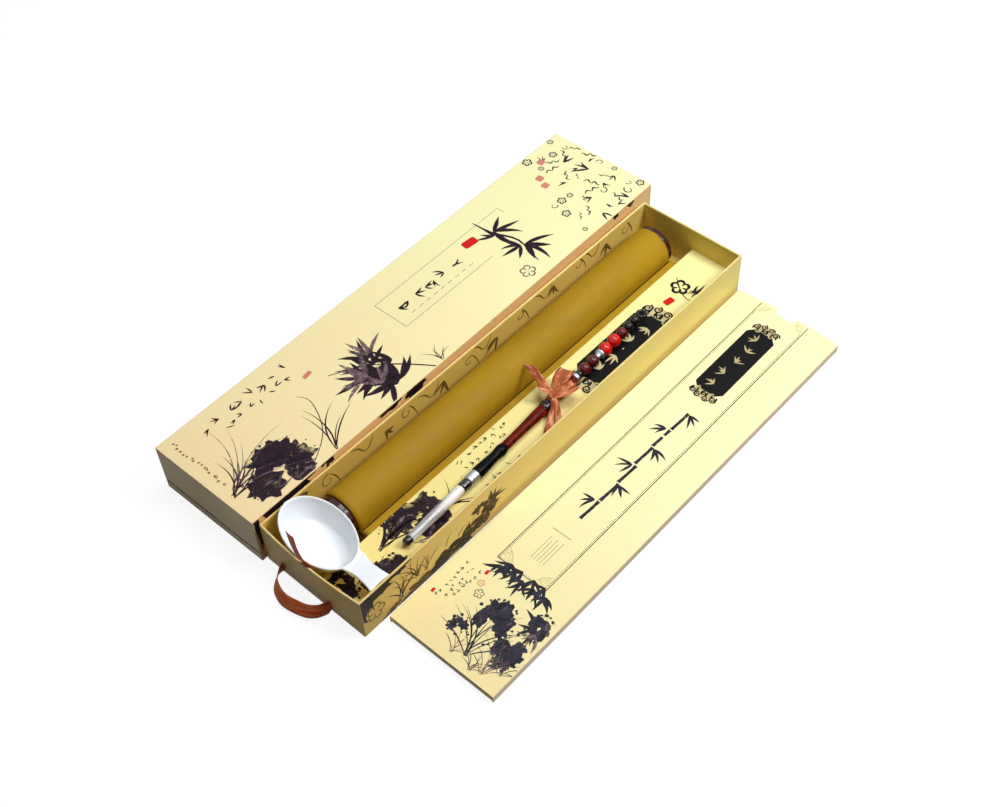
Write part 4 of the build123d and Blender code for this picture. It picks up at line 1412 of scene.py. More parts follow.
def print_tray():
    s = settings().tray
    l, h = mm(s.size)[1:]
    rng = random.Random(settings().prints.seed + 1)
    inside = Matrix.Translation((-s.size[0] / 2 + s.wall + 0.00022, 0, 0)) @ WALL
    faint = Print("lining_leaves", "ink_brown", "tray", inside, 0,
                  limits(-l / 2 + 4, 3, l / 2 - 4, h - 1.5), rng)
    for k in range(17):
        y, z, turn = -182 + 24.5 * k + rng.uniform(-9, 9), rng.uniform(30, 40), rng.uniform(20, 160)
        if k % 3 == 0:
            sprig(faint, (y, z), rng.uniform(16, 24), turn + 180, 3)
        elif k % 3 == 1:
            faint.curl((y, z), rng.uniform(5, 8), turn, rng.choice((-1, 1)), 1.5, 0.9)
            faint.stroke([(y + 3, z + 6, 0.6), (y + 8, z - 1, 1.7), (y + 12, z - 12, 0.6)])
        else:
            faint.stroke([(y - 11, z + 7, 0.6), (y - 3, z + 3, 1.9), (y + 3, z - 5, 1.1),
                          (y + 9, z - 3, 1.8), (y + 14, z + 6, 0.5)])
    faint.finish()
    outside = Matrix.Translation((s.size[0] / 2, 0, 0)) @ WALL
    edge = limits(-l / 2 + 1, 0.6, l / 2 - 1, h - 0.6)
    looks = (("ink", "ink_umber"), ("wash", "ink_brown"), ("dark", "ink"))
    sheet = ink, wash, dark = pens("wall_", "tray", outside, edge, rng, looks)
    washes = ((-178, 4, 40, 14), (-150, 8, 38, 18), (-124, 10, 34, 22), (-100, 16, 32, 20), (-206, 3, 24, 9))
    for k, (y, z, a, b) in enumerate(washes):
        (wash if k in (0, 4) else ink).blot((y, z), (a, b), rng.uniform(-8, 22), y, 0.38, 0.84)
    for y, z, a, b in ((-229, 38, 24, 28), (-214, 42, 30, 18), (-196, 45, 34, 12), (-234, 24, 10, 20)):
        dark.blot((y, z), (a, b), 0, y, 0.35, 0.9)
    for y, z, a, b in ((-96, 24, 22, 18), (-108, 30, 14, 12)):
        ink.blot((y, z), (a, b), 20, y, 0.35, 0.8)
    orchid(ink, (-176, 16), 30, 8, 100, 60, 1.2)
    blossom(wash, wash, (-221, 20), 9, 0.09)
    orchid(ink, (-196, 8), 34, 9, 80, 55, 1.4)
    orchid(wash, (-168, 14), 26, 7, 75, 50, 0.9)
    sprig(ink, (-92, 26), 16, 40, 4)
    for k in range(12):
        wash.leaf((rng.uniform(-190, -90), rng.uniform(4, 20)), rng.uniform(8, 18), rng.uniform(10, 70),
                  rng.uniform(0.8, 2), 0.1, 0.9)
    finish_all(sheet)


def print_platform():
    s = settings().tray
    x0, x1, z = s.step_left / MM, s.step_right / MM, s.step_top
    y = s.size[1] / 2 / MM - 2.3
    edge = limits(x0 + 0.4, -y, x1 - 0.4, y)
    at = Matrix.Translation((0, 0, z))
    rng = random.Random(settings().prints.seed + 2)
    looks = (("ink", "ink"), ("wash", "ink_wash"), ("label", "plaque_black"), ("clouds", "plaque_beige"),
             ("seals", "seal_red"), ("blossoms", "blossom"), ("label_lines", "plaque_black"))
    sheet = ink, wash, black, beige, red, petal, dark = pens("platform_", "tray", at, edge, rng, looks)
    rock(ink, wash, (24, -146), (46, 70), 11)
    rock(ink, wash, (40, -196), (30, 52), 31)
    rock(ink, wash, (18, -222), (36, 20), 41)
    orchid(ink, (20, -182), 62, 10, 100, 50, 1.6)
    orchid(ink, (30, -116), 30, 7, 84, 60, 1)
    for k, x in enumerate((8, 17, 41, 48)):
        falling_leaves(ink, x, -84 + 4 * (k % 2), -26 - 6 * (k % 3), 5)
    seal(petal, 45, -100, 4, 7)
    plaque(black, beige, dark, 31.5, 47, 151, 38)
    seal(red, 27, 168, 6.5, 10, -10)
    blossom(ink, ink, (24, 188), 8, 0.2)
    sprig(ink, (38, 190), 15, 60, 4)
    sprig(ink, (40, 192), 10, 230, 3)
    ink.stroke([(14, 196, 0.8), (24, 187, 1.4), (38, 180, 0.9), (46, 186, 0.5)])
    finish_all(sheet)


def print_folder():
    s = settings().folder
    w, l = mm(s.size)[:2]
    at = turned_frame(s.corner, s.turn)
    edge = limits(0.9, 0.9, w - 0.9, l - 0.5)
    rng = random.Random(settings().prints.seed + 3)
    looks = (("ink", "ink_slate"), ("wash", "ink_wash"), ("label", "plaque_black"),
             ("clouds", "plaque_beige"), ("lines", "frame_line"), ("seals", "seal_red"),
             ("blossoms", "blossom"), ("label_lines", "plaque_black"))
    sheet = pens("folder_", "folder", at, edge, rng, looks, lambda x, y: folder_top(s, x, y))
    ink, wash, black, beige, line, red, petal, dark = sheet
    # ruled frame with its corners
    fx0, fy0, fx1, fy1 = 26.5, 92, 75, l - 2.5
    for x in (fx0, fx1):
        for k in range(36):
            a, b = fy0 + (fy1 - fy0) * k / 36, fy0 + (fy1 - fy0) * (k + 1) / 36
            line.block(x - 0.34, a, x + 0.34, b)
            if k < 35:
                side = 1.4 if x < w / 2 else -1.4
                for j in range(4):
                    c = a + (b - a) * j / 4
                    line.block(x + side - 0.24, c, x + side + 0.24, c + (b - a) * 0.15)
    line.block(fx0, fy0 - 0.34, fx1, fy0 + 0.34)
    for k in range(28):
        x = fx0 + (fx1 - fx0) * k / 28
        line.block(x, fy0 + 1.2, x + 0.9, fy0 + 1.5)
    for sy, y, size in ((1, fy0 + 1.4, 10), (-1, fy1 - 0.4, 9)):
        mirror_corner(beige, fx0 + 1.4, y, 1, sy, size)
        mirror_corner(beige, fx1 - 1.4, y, -1, sy, size)
    # label, bamboo stalk, rule
    plaque(black, beige, dark, 49.5, 323, 416, 28)
    stalk(ink, 52, 160, 300, 4.2, 6)
    line.block(41.5, 140, 60, 140.35)
    for k in range(5):
        line.block(46 + 3 * k, 108, 46.25 + 3 * k, 134 - 4 * (k % 2))
    # near end: leaves under the frame, orchids on a rock, small marks
    for k in range(9):
        sprig(ink, (34 + 5.6 * k, 88 + 6 * (k % 2)), 17, 262 + rng.uniform(-30, 30), 4)
    rock(ink, wash, (62, 46), (34, 42), 51)
    rock(ink, wash, (88, 34), (24, 34), 71)
    orchid(ink, (66, 12), 52, 12, 100, 62, 1.2)
    orchid(wash, (84, 8), 34, 10, 90, 66, 0.9)
    orchid(ink, (96, 16), 22, 8, 90, 70, 0.7)
    orchid(wash, (56, 7), 22, 9, 90, 74, 0.7)
    orchid(ink, (76, 5), 18, 9, 90, 74, 0.6)
    sprig(ink, (92, 62), 20, 230, 5)
    sprig(wash, (95, 58), 18, 250, 4)
    rock(ink, wash, (92, 64), (18, 26), 83)
    rock(ink, wash, (44, 28), (14, 18), 97)
    for k, x in enumerate((13, 19, 25)):
        falling_leaves(ink, x, 38 + 4 * k, 74, 3.6)
    seal(red, 9, 38, 2.4, 4)
    seal(red, 30, 76, 2.6, 4.5)
    blossom(ink, ink, (38, 58), 4)
    blossom(petal, petal, (33, 66), 3)
    finish_all(sheet)


# --- cloth roll

def make_cloth():
    """A sheet wound in a spiral from the rod outward, its free end laid out to the hem over the lath."""
    s = settings().cloth
    R, r0, pitch, wide = s.radius / MM, s.core / MM + 0.25, s.pitch / MM, s.width / MM
    cx, cz, y0 = -26.66, 22.64, -177.46
    outer = R - 0.3
    turns = (outer - r0) / pitch
    end = radians(6)
    total = 2 * pi * turns
    per = 52
    path = []
    n = int(turns * per)
    for i in range(n + 1):
        a = total * (1 - i / n)
        r = outer - pitch * a / (2 * pi)
        path.append((cx + r * cos(end + a), cz + r * sin(end + a)))
    hem = [(-6.42, 20.9), (-6.3, 19.4), (-5.85, 18.75), (-5.3, 19.3), (-4.6, 20.1), (-1.8, 20.2),
           (1.4, 20.15), (2.45, 19.7), (2.62, 18.8), (2.4, 17.9), (1.3, 17.5), (-1.8, 17.42), (-4.8, 17.45)]
    path = path[:-1] + smooth_line([path[-1]] + hem, 4)[1:]
    lengths = [0]
    for a, b in zip(path, path[1:]):
        lengths.append(lengths[-1] + dist(a, b))
    ys = [0, 0.012, 0.05] + steps(0.12, 0.88, 9) + [0.95, 0.988, 1]
    first = len(path) - per - 50
    bm = bmesh.new()

    def point(k, t):
        x, z = path[k]
        y = y0 + wide * t
        dx, dz = x - cx, z - cz
        d = hypot(dx, dz)
        if k > first and d > R - 1.6:
            share = min(1, (k - first) / 30)
            wave = noise.noise(Vector((y * 0.012, atan2(dz, dx) * 1.3, 3.1))) * 0.3
            wave += noise.noise(Vector((y * 0.05, atan2(dz, dx) * 3, 9.4))) * 0.09
            if k < len(path) - 48:
                x += dx / d * wave * share
                z += dz / d * wave * share
        return (x, y, z)
    rows = surface(bm, range(len(path)), ys, point)
    lay_weave(bm, rows, lambda i, j: (lengths[i] * MM, wide * ys[j] * MM))
    obj = finish_piece("practice_cloth", bm, "cloth", "roll", ["cloth_roll", "cloth_hem"], sharp=60,
                       weld=False)
    thicken(obj, s.thickness / MM, offset=0)
    # A row of dark stitches along the free edge: partly a hem seam, mostly a painted shadow line under the
    # edge.
    seam_shadow = Print("hem_stitches", "hem_thread", "roll", Matrix.Translation((0, 0, 0.02036)))
    pitch = 2.3
    for k in range(int(wide / pitch)):
        y = y0 + (k + 0.2) * pitch
        seam_shadow.stroke([(-4.6, y, 1.2), (-4.5, y + 1.05, 1.8), (-4.6, y + 2.1, 1.2)], 1, 1)
    seam_shadow.finish()


# --- dish

def make_dish():
    s = settings().dish
    a, b = mm(s.rim)
    depth, wall, reach = s.depth / MM, s.wall / MM, s.reach / MM
    tilt, turn, share0 = radians(4.5), radians(-5), 0.63
    z0 = 22.5 + 0.3 + share0 * a * sin(tilt) + depth * cos(tilt)
    at = Matrix.Translation(Vector((-13.5, -235 + 24.3, z0)) * MM) @ Matrix.Rotation(tilt, 4, "Y")

    def level(drop):
        return share0 + (1 - share0) * (1 - drop) ** 0.8
    drops = steps(0, 1, 18)
    outside = [(a * level(d), b * level(d), -depth * d) for d in drops]
    inner_depth = depth - wall - 2.6
    inside = [(a * level(d * inner_depth / depth) - wall, b * level(d * inner_depth / depth) - wall,
               -inner_depth * d) for d in drops]
    foot, dip = outside[-1], inside[-1]
    rows = [(foot[0] * f, foot[1] * f, foot[2] + (0.5 if f < 0.8 else 0)) for f in (0.02, 0.5, 0.78, 0.9)]
    rows += [(foot[0] * 0.965, foot[1] * 0.965, foot[2] + 0.12)] + outside[-2::-1]
    rows += [(a - wall * 0.15, b - wall * 0.15, 0.42), (a - wall * 0.5, b - wall * 0.5, 0.6),
             (a - wall * 0.85, b - wall * 0.85, 0.42)]
    rows += inside[:-1] + [(dip[0] * f, dip[1] * f, dip[2] + 0.35 * max(0, f - 0.86) / 0.1)
                           for f in (0.97, 0.9, 0.7, 0.4, 0.02)]
    ring = range(97)
    bm = bmesh.new()

    def cup(k, row):
        t = 2 * pi * k / 96
        p = Matrix.Rotation(turn, 2) @ Vector((row[0] * cos(t), row[1] * sin(t)))
        return (p.x, p.y, row[2] - 0.2)
    surface(bm, ring, rows, cup)
    merge(bm)
    bmesh.ops.holes_fill(bm, edges=[e for e in bm.edges if e.is_boundary], sides=0)
    shift = 0.8
    flank = smooth_line([(45.3, 8.4), (52, 8.35), (59.6, 9.1), (reach - 1.2, 10.2)], 5)
    flank += [(reach - 0.4, 10.1), (reach - 0.5, 9.2)]
    tip = [(reach - 1.7 + abs(y) * 0.13, y) for y in steps(7, -7, 6)]
    root = []
    for t in steps(-0.33, 0.62, 8):
        p = Matrix.Rotation(turn, 2) @ Vector(((a - 1.6) * cos(t), (b - 1.6) * sin(t)))
        root.append((p.x, p.y))
    side = root + [(39.3, shift + 9.9)] + [(x, shift + y) for x, y in flank + tip]
    side += [(x, shift - y) for x, y in reversed(flank)] + [(39.3, shift - 9.9)]
    face = bm.faces.new([bm.verts.new((x * MM, y * MM, -0.35 * MM)) for x, y in side])
    for v in bmesh.ops.extrude_face_region(bm, geom=[face])["geom"]:
        if isinstance(v, bmesh.types.BMVert):
            v.co.z -= 2.7 * MM
    bmesh.ops.recalc_face_normals(bm, faces=bm.faces)
    obj = finish_piece("dish_body", bm, "glaze", "dish", ["dish"], at=at, weld=False)
    remesh = obj.modifiers.new("join", "REMESH")
    remesh.mode = "VOXEL"
    remesh.voxel_size = s.voxel
    smooth = obj.modifiers.new("smooth", "SMOOTH")
    smooth.factor, smooth.iterations = 0.5, 9
    graph = bpy.context.evaluated_depsgraph_get()
    made = bpy.data.meshes.new_from_object(obj.evaluated_get(graph))
    obj.modifiers.clear()
    old = obj.data
    made.polygons.foreach_set("use_smooth", [True] * len(made.polygons))
    made.materials.clear()
    made.materials.append(material("glaze"))
    obj.data = made
    made.name = "dish_body"
    bpy.data.meshes.remove(old)


# --- brush

def brush_frame():
    s = settings().brush
    axis = Vector(s.axis).normalized()
    x = -Vector((0, 0, 1)).cross(axis).normalized()
    y = axis.cross(x)
    return basis(x, y, axis, s.tip)


def lathe_piece(name, profile, look, node, segments=48, body="brush", sharp=50):
    bm = bmesh.new()
    turned(bm, profile, segments, brush_frame())
    finish_piece(name, bm, look, body, [node], sharp=sharp)


# name, where it starts along the brush, radius and look
BEADS = (("maroon_1", 218.85, 5.2, "maroon_bead"), ("maroon_2", 229.4, 5.2, "maroon_bead"),
         ("red_1", 246.1, 6, "red_bead"), ("red_2", 258.25, 6, "red_bead"),
         ("wine", 270.4, 5, "maroon_bead"), ("black_1", 280.55, 4.4, "black_gloss"),
         ("black_2", 289.5, 4.4, "black_gloss"))


def make_brush():
    bore = 0.98
    lathe_piece("ferrule_blue",
                rounded([(0, 66), (4.2, 66), (4.45, 66.8), (4.45, 70.2), (4.3, 70.5), (4.3, 70.9),
                         (4.45, 71.2), (4.45, 73.6), (4.2, 74), (0, 74)], 0.25), "navy", "ferrule_navy")
    lathe_piece("ferrule_bright",
                rounded([(0, 74.1), (4.3, 74.1), (4.7, 75), (4.7, 77), (4.55, 77.3), (4.55, 77.7),
                         (4.7, 78), (4.7, 83.6), (4.5, 84.2), (0, 84.2)], 0.25), "silver", "ferrule_silver")
    neck = smooth_line([(5.2, 84.5), (5.3, 85.6), (5.3, 88.3), (5.05, 93.3), (4.5, 101.5), (4.32, 106),
                        (4.4, 109.3), (4.7, 111.2), (5, 113), (5, 114.9), (4.75, 116.6), (4.35, 117.8),
                        (4.2, 118.7)], 5)
    lathe_piece("horn_neck", rounded([(0, 84.3), (5, 84.3)], 0.2) + neck + [(0, 118.8)], "horn",
                "horn_socket", 64, sharp=60)
    grip = smooth_line([(3.85, 119.2), (4, 123), (4, 132), (4.15, 142), (4.6, 154), (4.9, 162), (4.9, 190),
                        (4.9, 206), (4.7, 208)], 5)
    grip = [(0, 118.9), (3.6, 118.9)] + grip + [(4.3, 209), (bore, 209), (bore, 205), (0, 205)]
    lathe_piece("grip", grip, "handle_lacquer", "brush_handle", 64, sharp=60)
    lathe_piece("grip_ring",
                rounded([(4.98, 168), (5.1, 168), (5.5, 169.5), (5.5, 173.5), (5.1, 175), (4.98, 175)],
                        0.5), "black_gloss", "handle_ring", 64)
    lathe_piece("ring_bead",
                rounded([(bore, 209.15), (4.1, 209.15), (4.7, 210.15), (4.7, 212.15), (4.1, 213.15),
                         (bore, 213.15)], 0.5), "silver", "tail_ring")
    lathe_piece("spacer_bead",
                [(bore, 213.3), (3, 213.3)]
                + smooth_line([(3, 213.35), (3.6, 214.6), (3.8, 216), (3.6, 217.4), (3, 218.65)], 4)
                + [(bore, 218.7)], "black_gloss", "bead_spacer")
    bell = smooth_line([(2.6, 240), (2.8, 241.2), (3.2, 242.6), (4.2, 243.9), (4.65, 244.7)], 4)
    lathe_piece("bell_bead",
                [(bore, 239.95), (2.6, 239.95)] + bell
                + rounded([(4.7, 244.8), (4.7, 245.9), (bore, 245.95)], 0.3), "silver", "tail_bell")
    for name, station, radius, look in BEADS:
        at = station + radius
        shell = ball(radius, at, 18, bore * 1.35)
        lip = [(bore, at - radius * 0.93)]
        lathe_piece(name + "_bead", lip + shell + [(bore, at + radius * 0.93)], look, "bead_" + name, 40,
                    sharp=70)

    bm = bmesh.new()
    ring = [(3.6 + 1.5 * cos(t), 1.5 * sin(t)) for t in steps(0, 2 * pi, 14)]
    at = brush_frame() @ Matrix.Translation((0, 0, 303.55 * MM)) @ Matrix.Rotation(pi / 2, 4, "X")
    turned(bm, ring, 40, at)
    finish_piece("ring_end", bm, "black_gloss", "brush", ["end_ring"], sharp=70)

    bm = bmesh.new()
    head = smooth_line([(0.05, 22), (0.8, 26.6), (1.6, 32), (2.5, 39.5), (3.3, 47), (3.8, 55),
                        (3.52, 65.9)], 6)
    count = 60
    rnd = random.Random(11)
    ridge = [1 + 0.035 * sin(7 * k * 2 * pi / count) + rnd.uniform(-0.03, 0.03) for k in range(count)]
    stations = head + [(0, 66)]

    def fibre(k, p):
        r, z = p
        a = 2 * pi * k / count
        r = r * (ridge[k % count] if r > 0.4 else 1)
        return (r * cos(a), r * sin(a), z)
    rows = surface(bm, range(count + 1), stations, fibre)
    layer = lay_weave(bm, rows, lambda k, j: (k / count * 0.026, stations[j][1] * MM))
    for i in range(settings().brush.hairs):
        a, start = rnd.uniform(0, 2 * pi), rnd.uniform(24, 34)
        last = rnd.uniform(42, 60)
        made = []
        for z in steps(start, last, 5):
            p, q = next(pair for pair in zip(head, head[1:]) if pair[0][1] <= z <= pair[1][1])
            r = p[0] + (q[0] - p[0]) * (z - p[1]) / (q[1] - p[1])
            r = min(r * 1.02 + 0.1, 3.95)
            drift = a + 0.1 * sin(z * 0.2 + i)
            for side in (-1, 1):
                b = drift + side * 0.055 / max(r, 0.8)
                made.append(bm.verts.new((r * cos(b) * MM, r * sin(b) * MM, z * MM)))
        for j in range(0, len(made) - 2, 2):
            f = bm.faces.new((made[j], made[j + 1], made[j + 3], made[j + 2]))
            for loop in f.loops:
                loop[layer].uv = (i * 0.0031, loop.vert.co.z)
    finish_piece("hair_head", bm, "hair", "brush", ["brush_bristles"], at=brush_frame(), sharp=80, weld=False)

    cone = (5.6 - 3.6) / (84 - 6)
    plug = rounded([(0, 0), (2.6, 0), (3.4, 1.2), (3.6, 2.4), (3.6, 6), (0, 6)], 0.5)
    lathe_piece("cap_end", plug, "black_gloss", "cap_plug", body="brush_cap")
    shell = [(0, 6.05), (3.6, 6.05)] + [(3.6 + cone * (z - 6), z) for z in (15, 30, 48, 66, 82.6)]
    shell += [(5.6, 83.7), (5.45, 84), (5.15, 84), (5, 83.4)]
    shell += [(3.6 + cone * (z - 6) - 0.6, z) for z in (82, 66, 48, 30, 15, 7.4)] + [(0, 7.2)]
    lathe_piece("cap_tube", shell, "clear", "cap_cone", 56, body="brush_cap", sharp=40)


def make_tail_cord():
    at = brush_frame()
    points = [(0, 0), (0.03, -0.02), (-0.03, 0.02), (0.02, 0.02), (-0.02, -0.02), (0, 0)]
    data = bpy.data.curves.new("tail_cord_line", "CURVE")
    data.dimensions = "3D"
    spline = data.splines.new("NURBS")
    stations = [201.1, 212, 236, 262, 286, 299.9]
    spline.points.add(len(stations) - 1)
    for p, (x, y), z in zip(spline.points, points, stations):
        p.co = (*(at @ (Vector((x, y, z)) * MM)), 1)
    spline.order_u = 3
    spline.use_endpoint_u = True
    data.bevel_depth = 0.9 * MM
    data.bevel_resolution = 4
    data.use_fill_caps = True
    data.materials.append(material("cord"))
    obj = add_object("bead_cord", data)
    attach(obj, "brush")
    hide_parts("tail_cord")


# --- ribbons

def ribbon(bm, points, wides, samples, camber, ripple, seed):
    """Ribbon through (x, y, z, half width) points in mm; its width's direction may turn from end to end."""
    line = smooth_line(points, samples)
    wides = [Vector(w) for w in wides]
    frames, long, last = [], [0], None
    for i, p in enumerate(line):
        here = Vector(p[:3])
        t = (Vector(line[min(i + 1, len(line) - 1)][:3]) - Vector(line[max(i - 1, 0)][:3])).normalized()
        share = i / (len(line) - 1) * (len(wides) - 1)
        k = min(int(share), len(wides) - 2)
        w = wides[k].lerp(wides[k + 1], share - k)
        w = (w - t * w.dot(t)).normalized()
        n = t.cross(w)
        frames.append((here, w, n, p[3]))
        if last is not None:
            long.append(long[-1] + (here - last).length)
        last = here
    us = steps(-1, 1, 6)

    def point(u, i):
        here, w, n, half = frames[i]
        wave = noise.noise(Vector((u * 1.6, long[i] * 0.11, seed)))
        folds = camber * (1 - u * u) * half + ripple * wave * half * 0.5
        return here + w * (u * half) + n * folds
    rows = surface(bm, us, range(len(line)), point)
    lay_weave(bm, rows, lambda c, i: ((seed + us[c] * frames[i][3]) * MM, long[i] * MM))


def make_pull_ribbon():
    bm = bmesh.new()
    near, low, w = -235, 2.6, 5.5
    loop_path = [(-16, 3.2), (-27, 3), (-33, 3.4), (-34.5, 1), (-34.5, -1), (-33.4, -6), (-26.3, -15.4),
                 (-12.1, -20.3), (5.4, -17.1), (14, -11.9), (17.9, -5.1), (18.5, -1), (18.5, 1),
                 (17.6, 3.6), (12, 3.4), (0, 3.1)]
    upright = [(0, 0, 1)] * 4
    lean = [(0.15, 0.1, 1), (0.35, 0.5, 1), (0.1, 0.85, 1), (-0.2, 0.75, 1), (-0.3, 0.3, 1)]
    ribbon(bm, [(x, near + y, low + w, w) for x, y in loop_path], upright + lean + upright, 6, camber=0.04,
           ripple=0.16, seed=1)
    tail = [(51, 3.4, 5), (51.4, 3, 18), (54.6, 1.5, 32), (55.6, -0.1, 42), (54.8, -0.6, 46),
            (53, -1.6, 50), (50.4, -2.8, 54.5), (47.4, -3, 64), (45.2, -3, 79)]
    halves = [4.1, 4.1, 4, 3.9, 3.9, 4, 4.1, 4.3, 4.7]
    ribbon(bm, [(x - 54.5, near + y, z, h) for (x, y, z), h in zip(tail, halves)],
           [(1, 0, 0), (1, 0.12, 0), (1, -0.1, 0)], 7, camber=-0.05, ripple=0.1, seed=2)
    obj = finish_piece("pull_ribbon_satin", bm, "satin", "tray", ["pull_ribbon"], sharp=75, weld=False)
    thicken(obj, 0.4, offset=0)


def make_bow():
    s = settings().bow
    k = Vector(s.knot) / MM
    loops = [([(0, 0, 0, 1.8), (-1.2, 4, 2.8, 3.4), (-3.4, 11.5, 4.9, 5.6), (-5.4, 19.5, 5, 6.8),
               (-7, 25.6, 3.6, 6.6), (-7.5, 27.4, 2, 6.3), (-6.9, 25.6, 0.4, 6), (-4.6, 16, 0.2, 5),
               (-1.8, 6, 0.2, 3), (0, 0, -1, 1.7)], [(0.97, 0.2, 0), (0.97, 0.2, 0.12), (0.97, 0.2, 0)]),
             ([(1, -0.5, 0, 1.8), (3.6, 2.2, 2, 3.6), (6, 7.5, 3.2, 5.2), (6.9, 13.5, 3, 5.6),
               (6.8, 18.8, 1.6, 5), (6.8, 20.2, 0.6, 4.8), (6.4, 18, -0.6, 4.6), (5.2, 10.5, -0.4, 4.2),
               (3, 4, -0.2, 2.8), (1, 0, -1, 1.7)],
              [(0.93, -0.1, -0.35), (0.93, -0.05, -0.2), (0.93, -0.1, -0.35)])]
    tails = [([(0, 0, 0.2, 1.8), (-6, 0.6, 3.2, 2.8), (-14.3, 1.6, 6.2, 3.4), (-25.6, 5.4, 6.8, 3.3),
               (-33, 7.4, 4.6, 2.2), (-38, 9, 2.4, 0.3)], [(0.2, 1, 0), (0.2, 0.9, 0.45), (0.2, 1, -0.2)]),
             ([(0, 0, -0.4, 1.6), (-5, -1.8, 2.6, 2.1), (-10.4, -2.6, 4.2, 2.1), (-14.4, -2.4, 4.2, 0.7)],
              [(0.1, 1, 0), (0.1, 1, 0.3)]),
             ([(0.5, -1, 0, 1.7), (5.8, -2.8, -1.4, 2.4), (11.2, -7, -6, 2.9), (15.2, -10.8, -9.2, 2.9),
               (18.8, -16, -10, 2.7), (20.6, -20.4, -10.2, 1.3)],
              [(0.7, 0.7, 0), (0.7, 0.7, 0.25), (0.7, 0.7, 0)]),
             ([(0, -1.5, 0, 1.7), (5.2, -5, -2, 2.3), (7.6, -9.5, -6.5, 2.5), (10.4, -14.9, -9, 2.7),
               (15.9, -25, -10, 2.7), (18, -31.6, -10.2, 1.3)], [(1, 0.5, 0), (1, 0.5, 0.2), (1, 0.5, 0)])]
    bm = bmesh.new()
    for i, (points, wides) in enumerate(loops + tails):
        ribbon(bm, [(k.x + x, k.y + y, k.z + z, h) for x, y, z, h in points], wides, 7,
               camber=0.16 if i < 2 else 0.1, ripple=0.3, seed=i * 7.3 + 3)
    obj = finish_piece("bow_satin_loops", bm, "bow_satin", "brush", ["bow_ribbon"], sharp=75, weld=False)
    thicken(obj, s.thickness / MM, offset=0)

    bm = bmesh.new()
    profile = smooth_line([(5.05, 176), (5.4, 176.3), (5.72, 178.6), (5.75, 180.5), (5.7, 182.4),
                           (5.4, 184.7), (5.05, 185)], 4)
    turned(bm, profile, 40, brush_frame())
    made = bmesh.ops.create_icosphere(bm, subdivisions=4, radius=4.4 * MM)["verts"]
    for v in made:
        d = v.co.normalized()
        fold = abs(sin(2.4 * atan2(d.y, d.z) + 1.2 * d.x)) ** 0.6
        crease = 1 - 0.16 * fold + 0.05 * noise.noise(d * 2.6)
        v.co = Vector((d.x * 0.86, d.y, d.z * 0.92)) * (4.4 * MM * crease)
        v.co += k * MM
    layer = bm.loops.layers.uv.new("weave")
    for f in bm.faces:
        for loop in f.loops:
            loop[layer].uv = (loop.vert.co.x + loop.vert.co.z, loop.vert.co.y)
    finish_piece("bow_knot", bm, "bow_satin", "brush", ["bow_ribbon"], sharp=80)


# --- carried-over nodes

LOOKS = {"tray_board": "greyboard", "platform_board": "step_card", "sleeve_board": "greyboard",
         "sleeve_end": "greyboard", "flap_board": "greyboard", "folder_strip": "folder_card",
         "folder_end_flap": "folder_card", "hem_lath": "lath_wood", "roll_core": "rod_wood",
         "roll_cap_near": "cap_lacquer", "roll_cap_far": "cap_lacquer"}


EDGE_WIDTHS = {"practice_card": 0.12, "folder_card": 0.2, "cap_lacquer": 0.3}


def dress_nodes():
    for name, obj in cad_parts.items():
        look = LOOKS.get(name) or ("practice_card" if name.startswith("practice_card") else None)
        if look:
            obj.data.materials.clear()
            obj.data.materials.append(material(look))
            round_edges(obj, EDGE_WIDTHS.get(look, 0.15))


# --- operators

def finished(*builders):
    """Runs the builders of one piece; a builder that can't finish raises."""
    for build in builders:
        build()
    return {"FINISHED"}


class Builder:
    bl_options = {"REGISTER", "UNDO"}


class SETBOX_OT_finishes(Builder, bpy.types.Operator):
    """Papers, inks, lacquers and the other materials"""
    bl_idname = "setbox.finishes"
    bl_label = "Finishes"

    def execute(self, context):
        return finished(make_groups, make_materials)


class SETBOX_OT_stage(Builder, bpy.types.Operator):
    """Camera, lamps and the pale floor"""
    bl_idname = "setbox.stage"
    bl_label = "Stage"

    def execute(self, context):
        return finished(make_camera, make_lights, make_floor)


class SETBOX_OT_brush(Builder, bpy.types.Operator):
    """Brush with its clear cap, bands, horn and lacquered handle"""
    bl_idname = "setbox.brush"
    bl_label = "Brush"

    def execute(self, context):
        return finished(make_brush)


class SETBOX_OT_bead_cord(Builder, bpy.types.Operator):
    """Cord that carries the beads of the brush"""
    bl_idname = "setbox.bead_cord"
    bl_label = "Bead cord"

    def execute(self, context):
        return finished(make_tail_cord)


class SETBOX_OT_tray(Builder, bpy.types.Operator):
    """Outside paper and lining of the tray"""
    bl_idname = "setbox.tray"
    bl_label = "Tray"

    def execute(self, context):
        return finished(make_tray)


class SETBOX_OT_platform(Builder, bpy.types.Operator):
    """Covered step beside the cloth roll"""
    bl_idname = "setbox.platform"
    bl_label = "Platform"

    def execute(self, context):
        return finished(make_platform)


class SETBOX_OT_sleeve(Builder, bpy.types.Operator):
    """Paper of the outer sleeve and of its end flap"""
    bl_idname = "setbox.sleeve"
    bl_label = "Sleeve"

    def execute(self, context):
        return finished(make_sleeve)


class SETBOX_OT_folder(Builder, bpy.types.Operator):
    """Folded card that holds the practice cards"""
    bl_idname = "setbox.folder"
    bl_label = "Card folder"

    def execute(self, context):
        return finished(make_folder)


class SETBOX_OT_prints(Builder, bpy.types.Operator):
    """Ink prints on the sleeve, tray, platform and folder"""
    bl_idname = "setbox.prints"
    bl_label = "Prints"

    def execute(self, context):
        return finished(print_sleeve, print_tray, print_platform, print_folder)


class SETBOX_OT_cloth(Builder, bpy.types.Operator):
    """Coated cloth wound on its rod, with its weighted hem"""
    bl_idname = "setbox.cloth"
    bl_label = "Practice cloth"

    def execute(self, context):
        return finished(make_cloth)


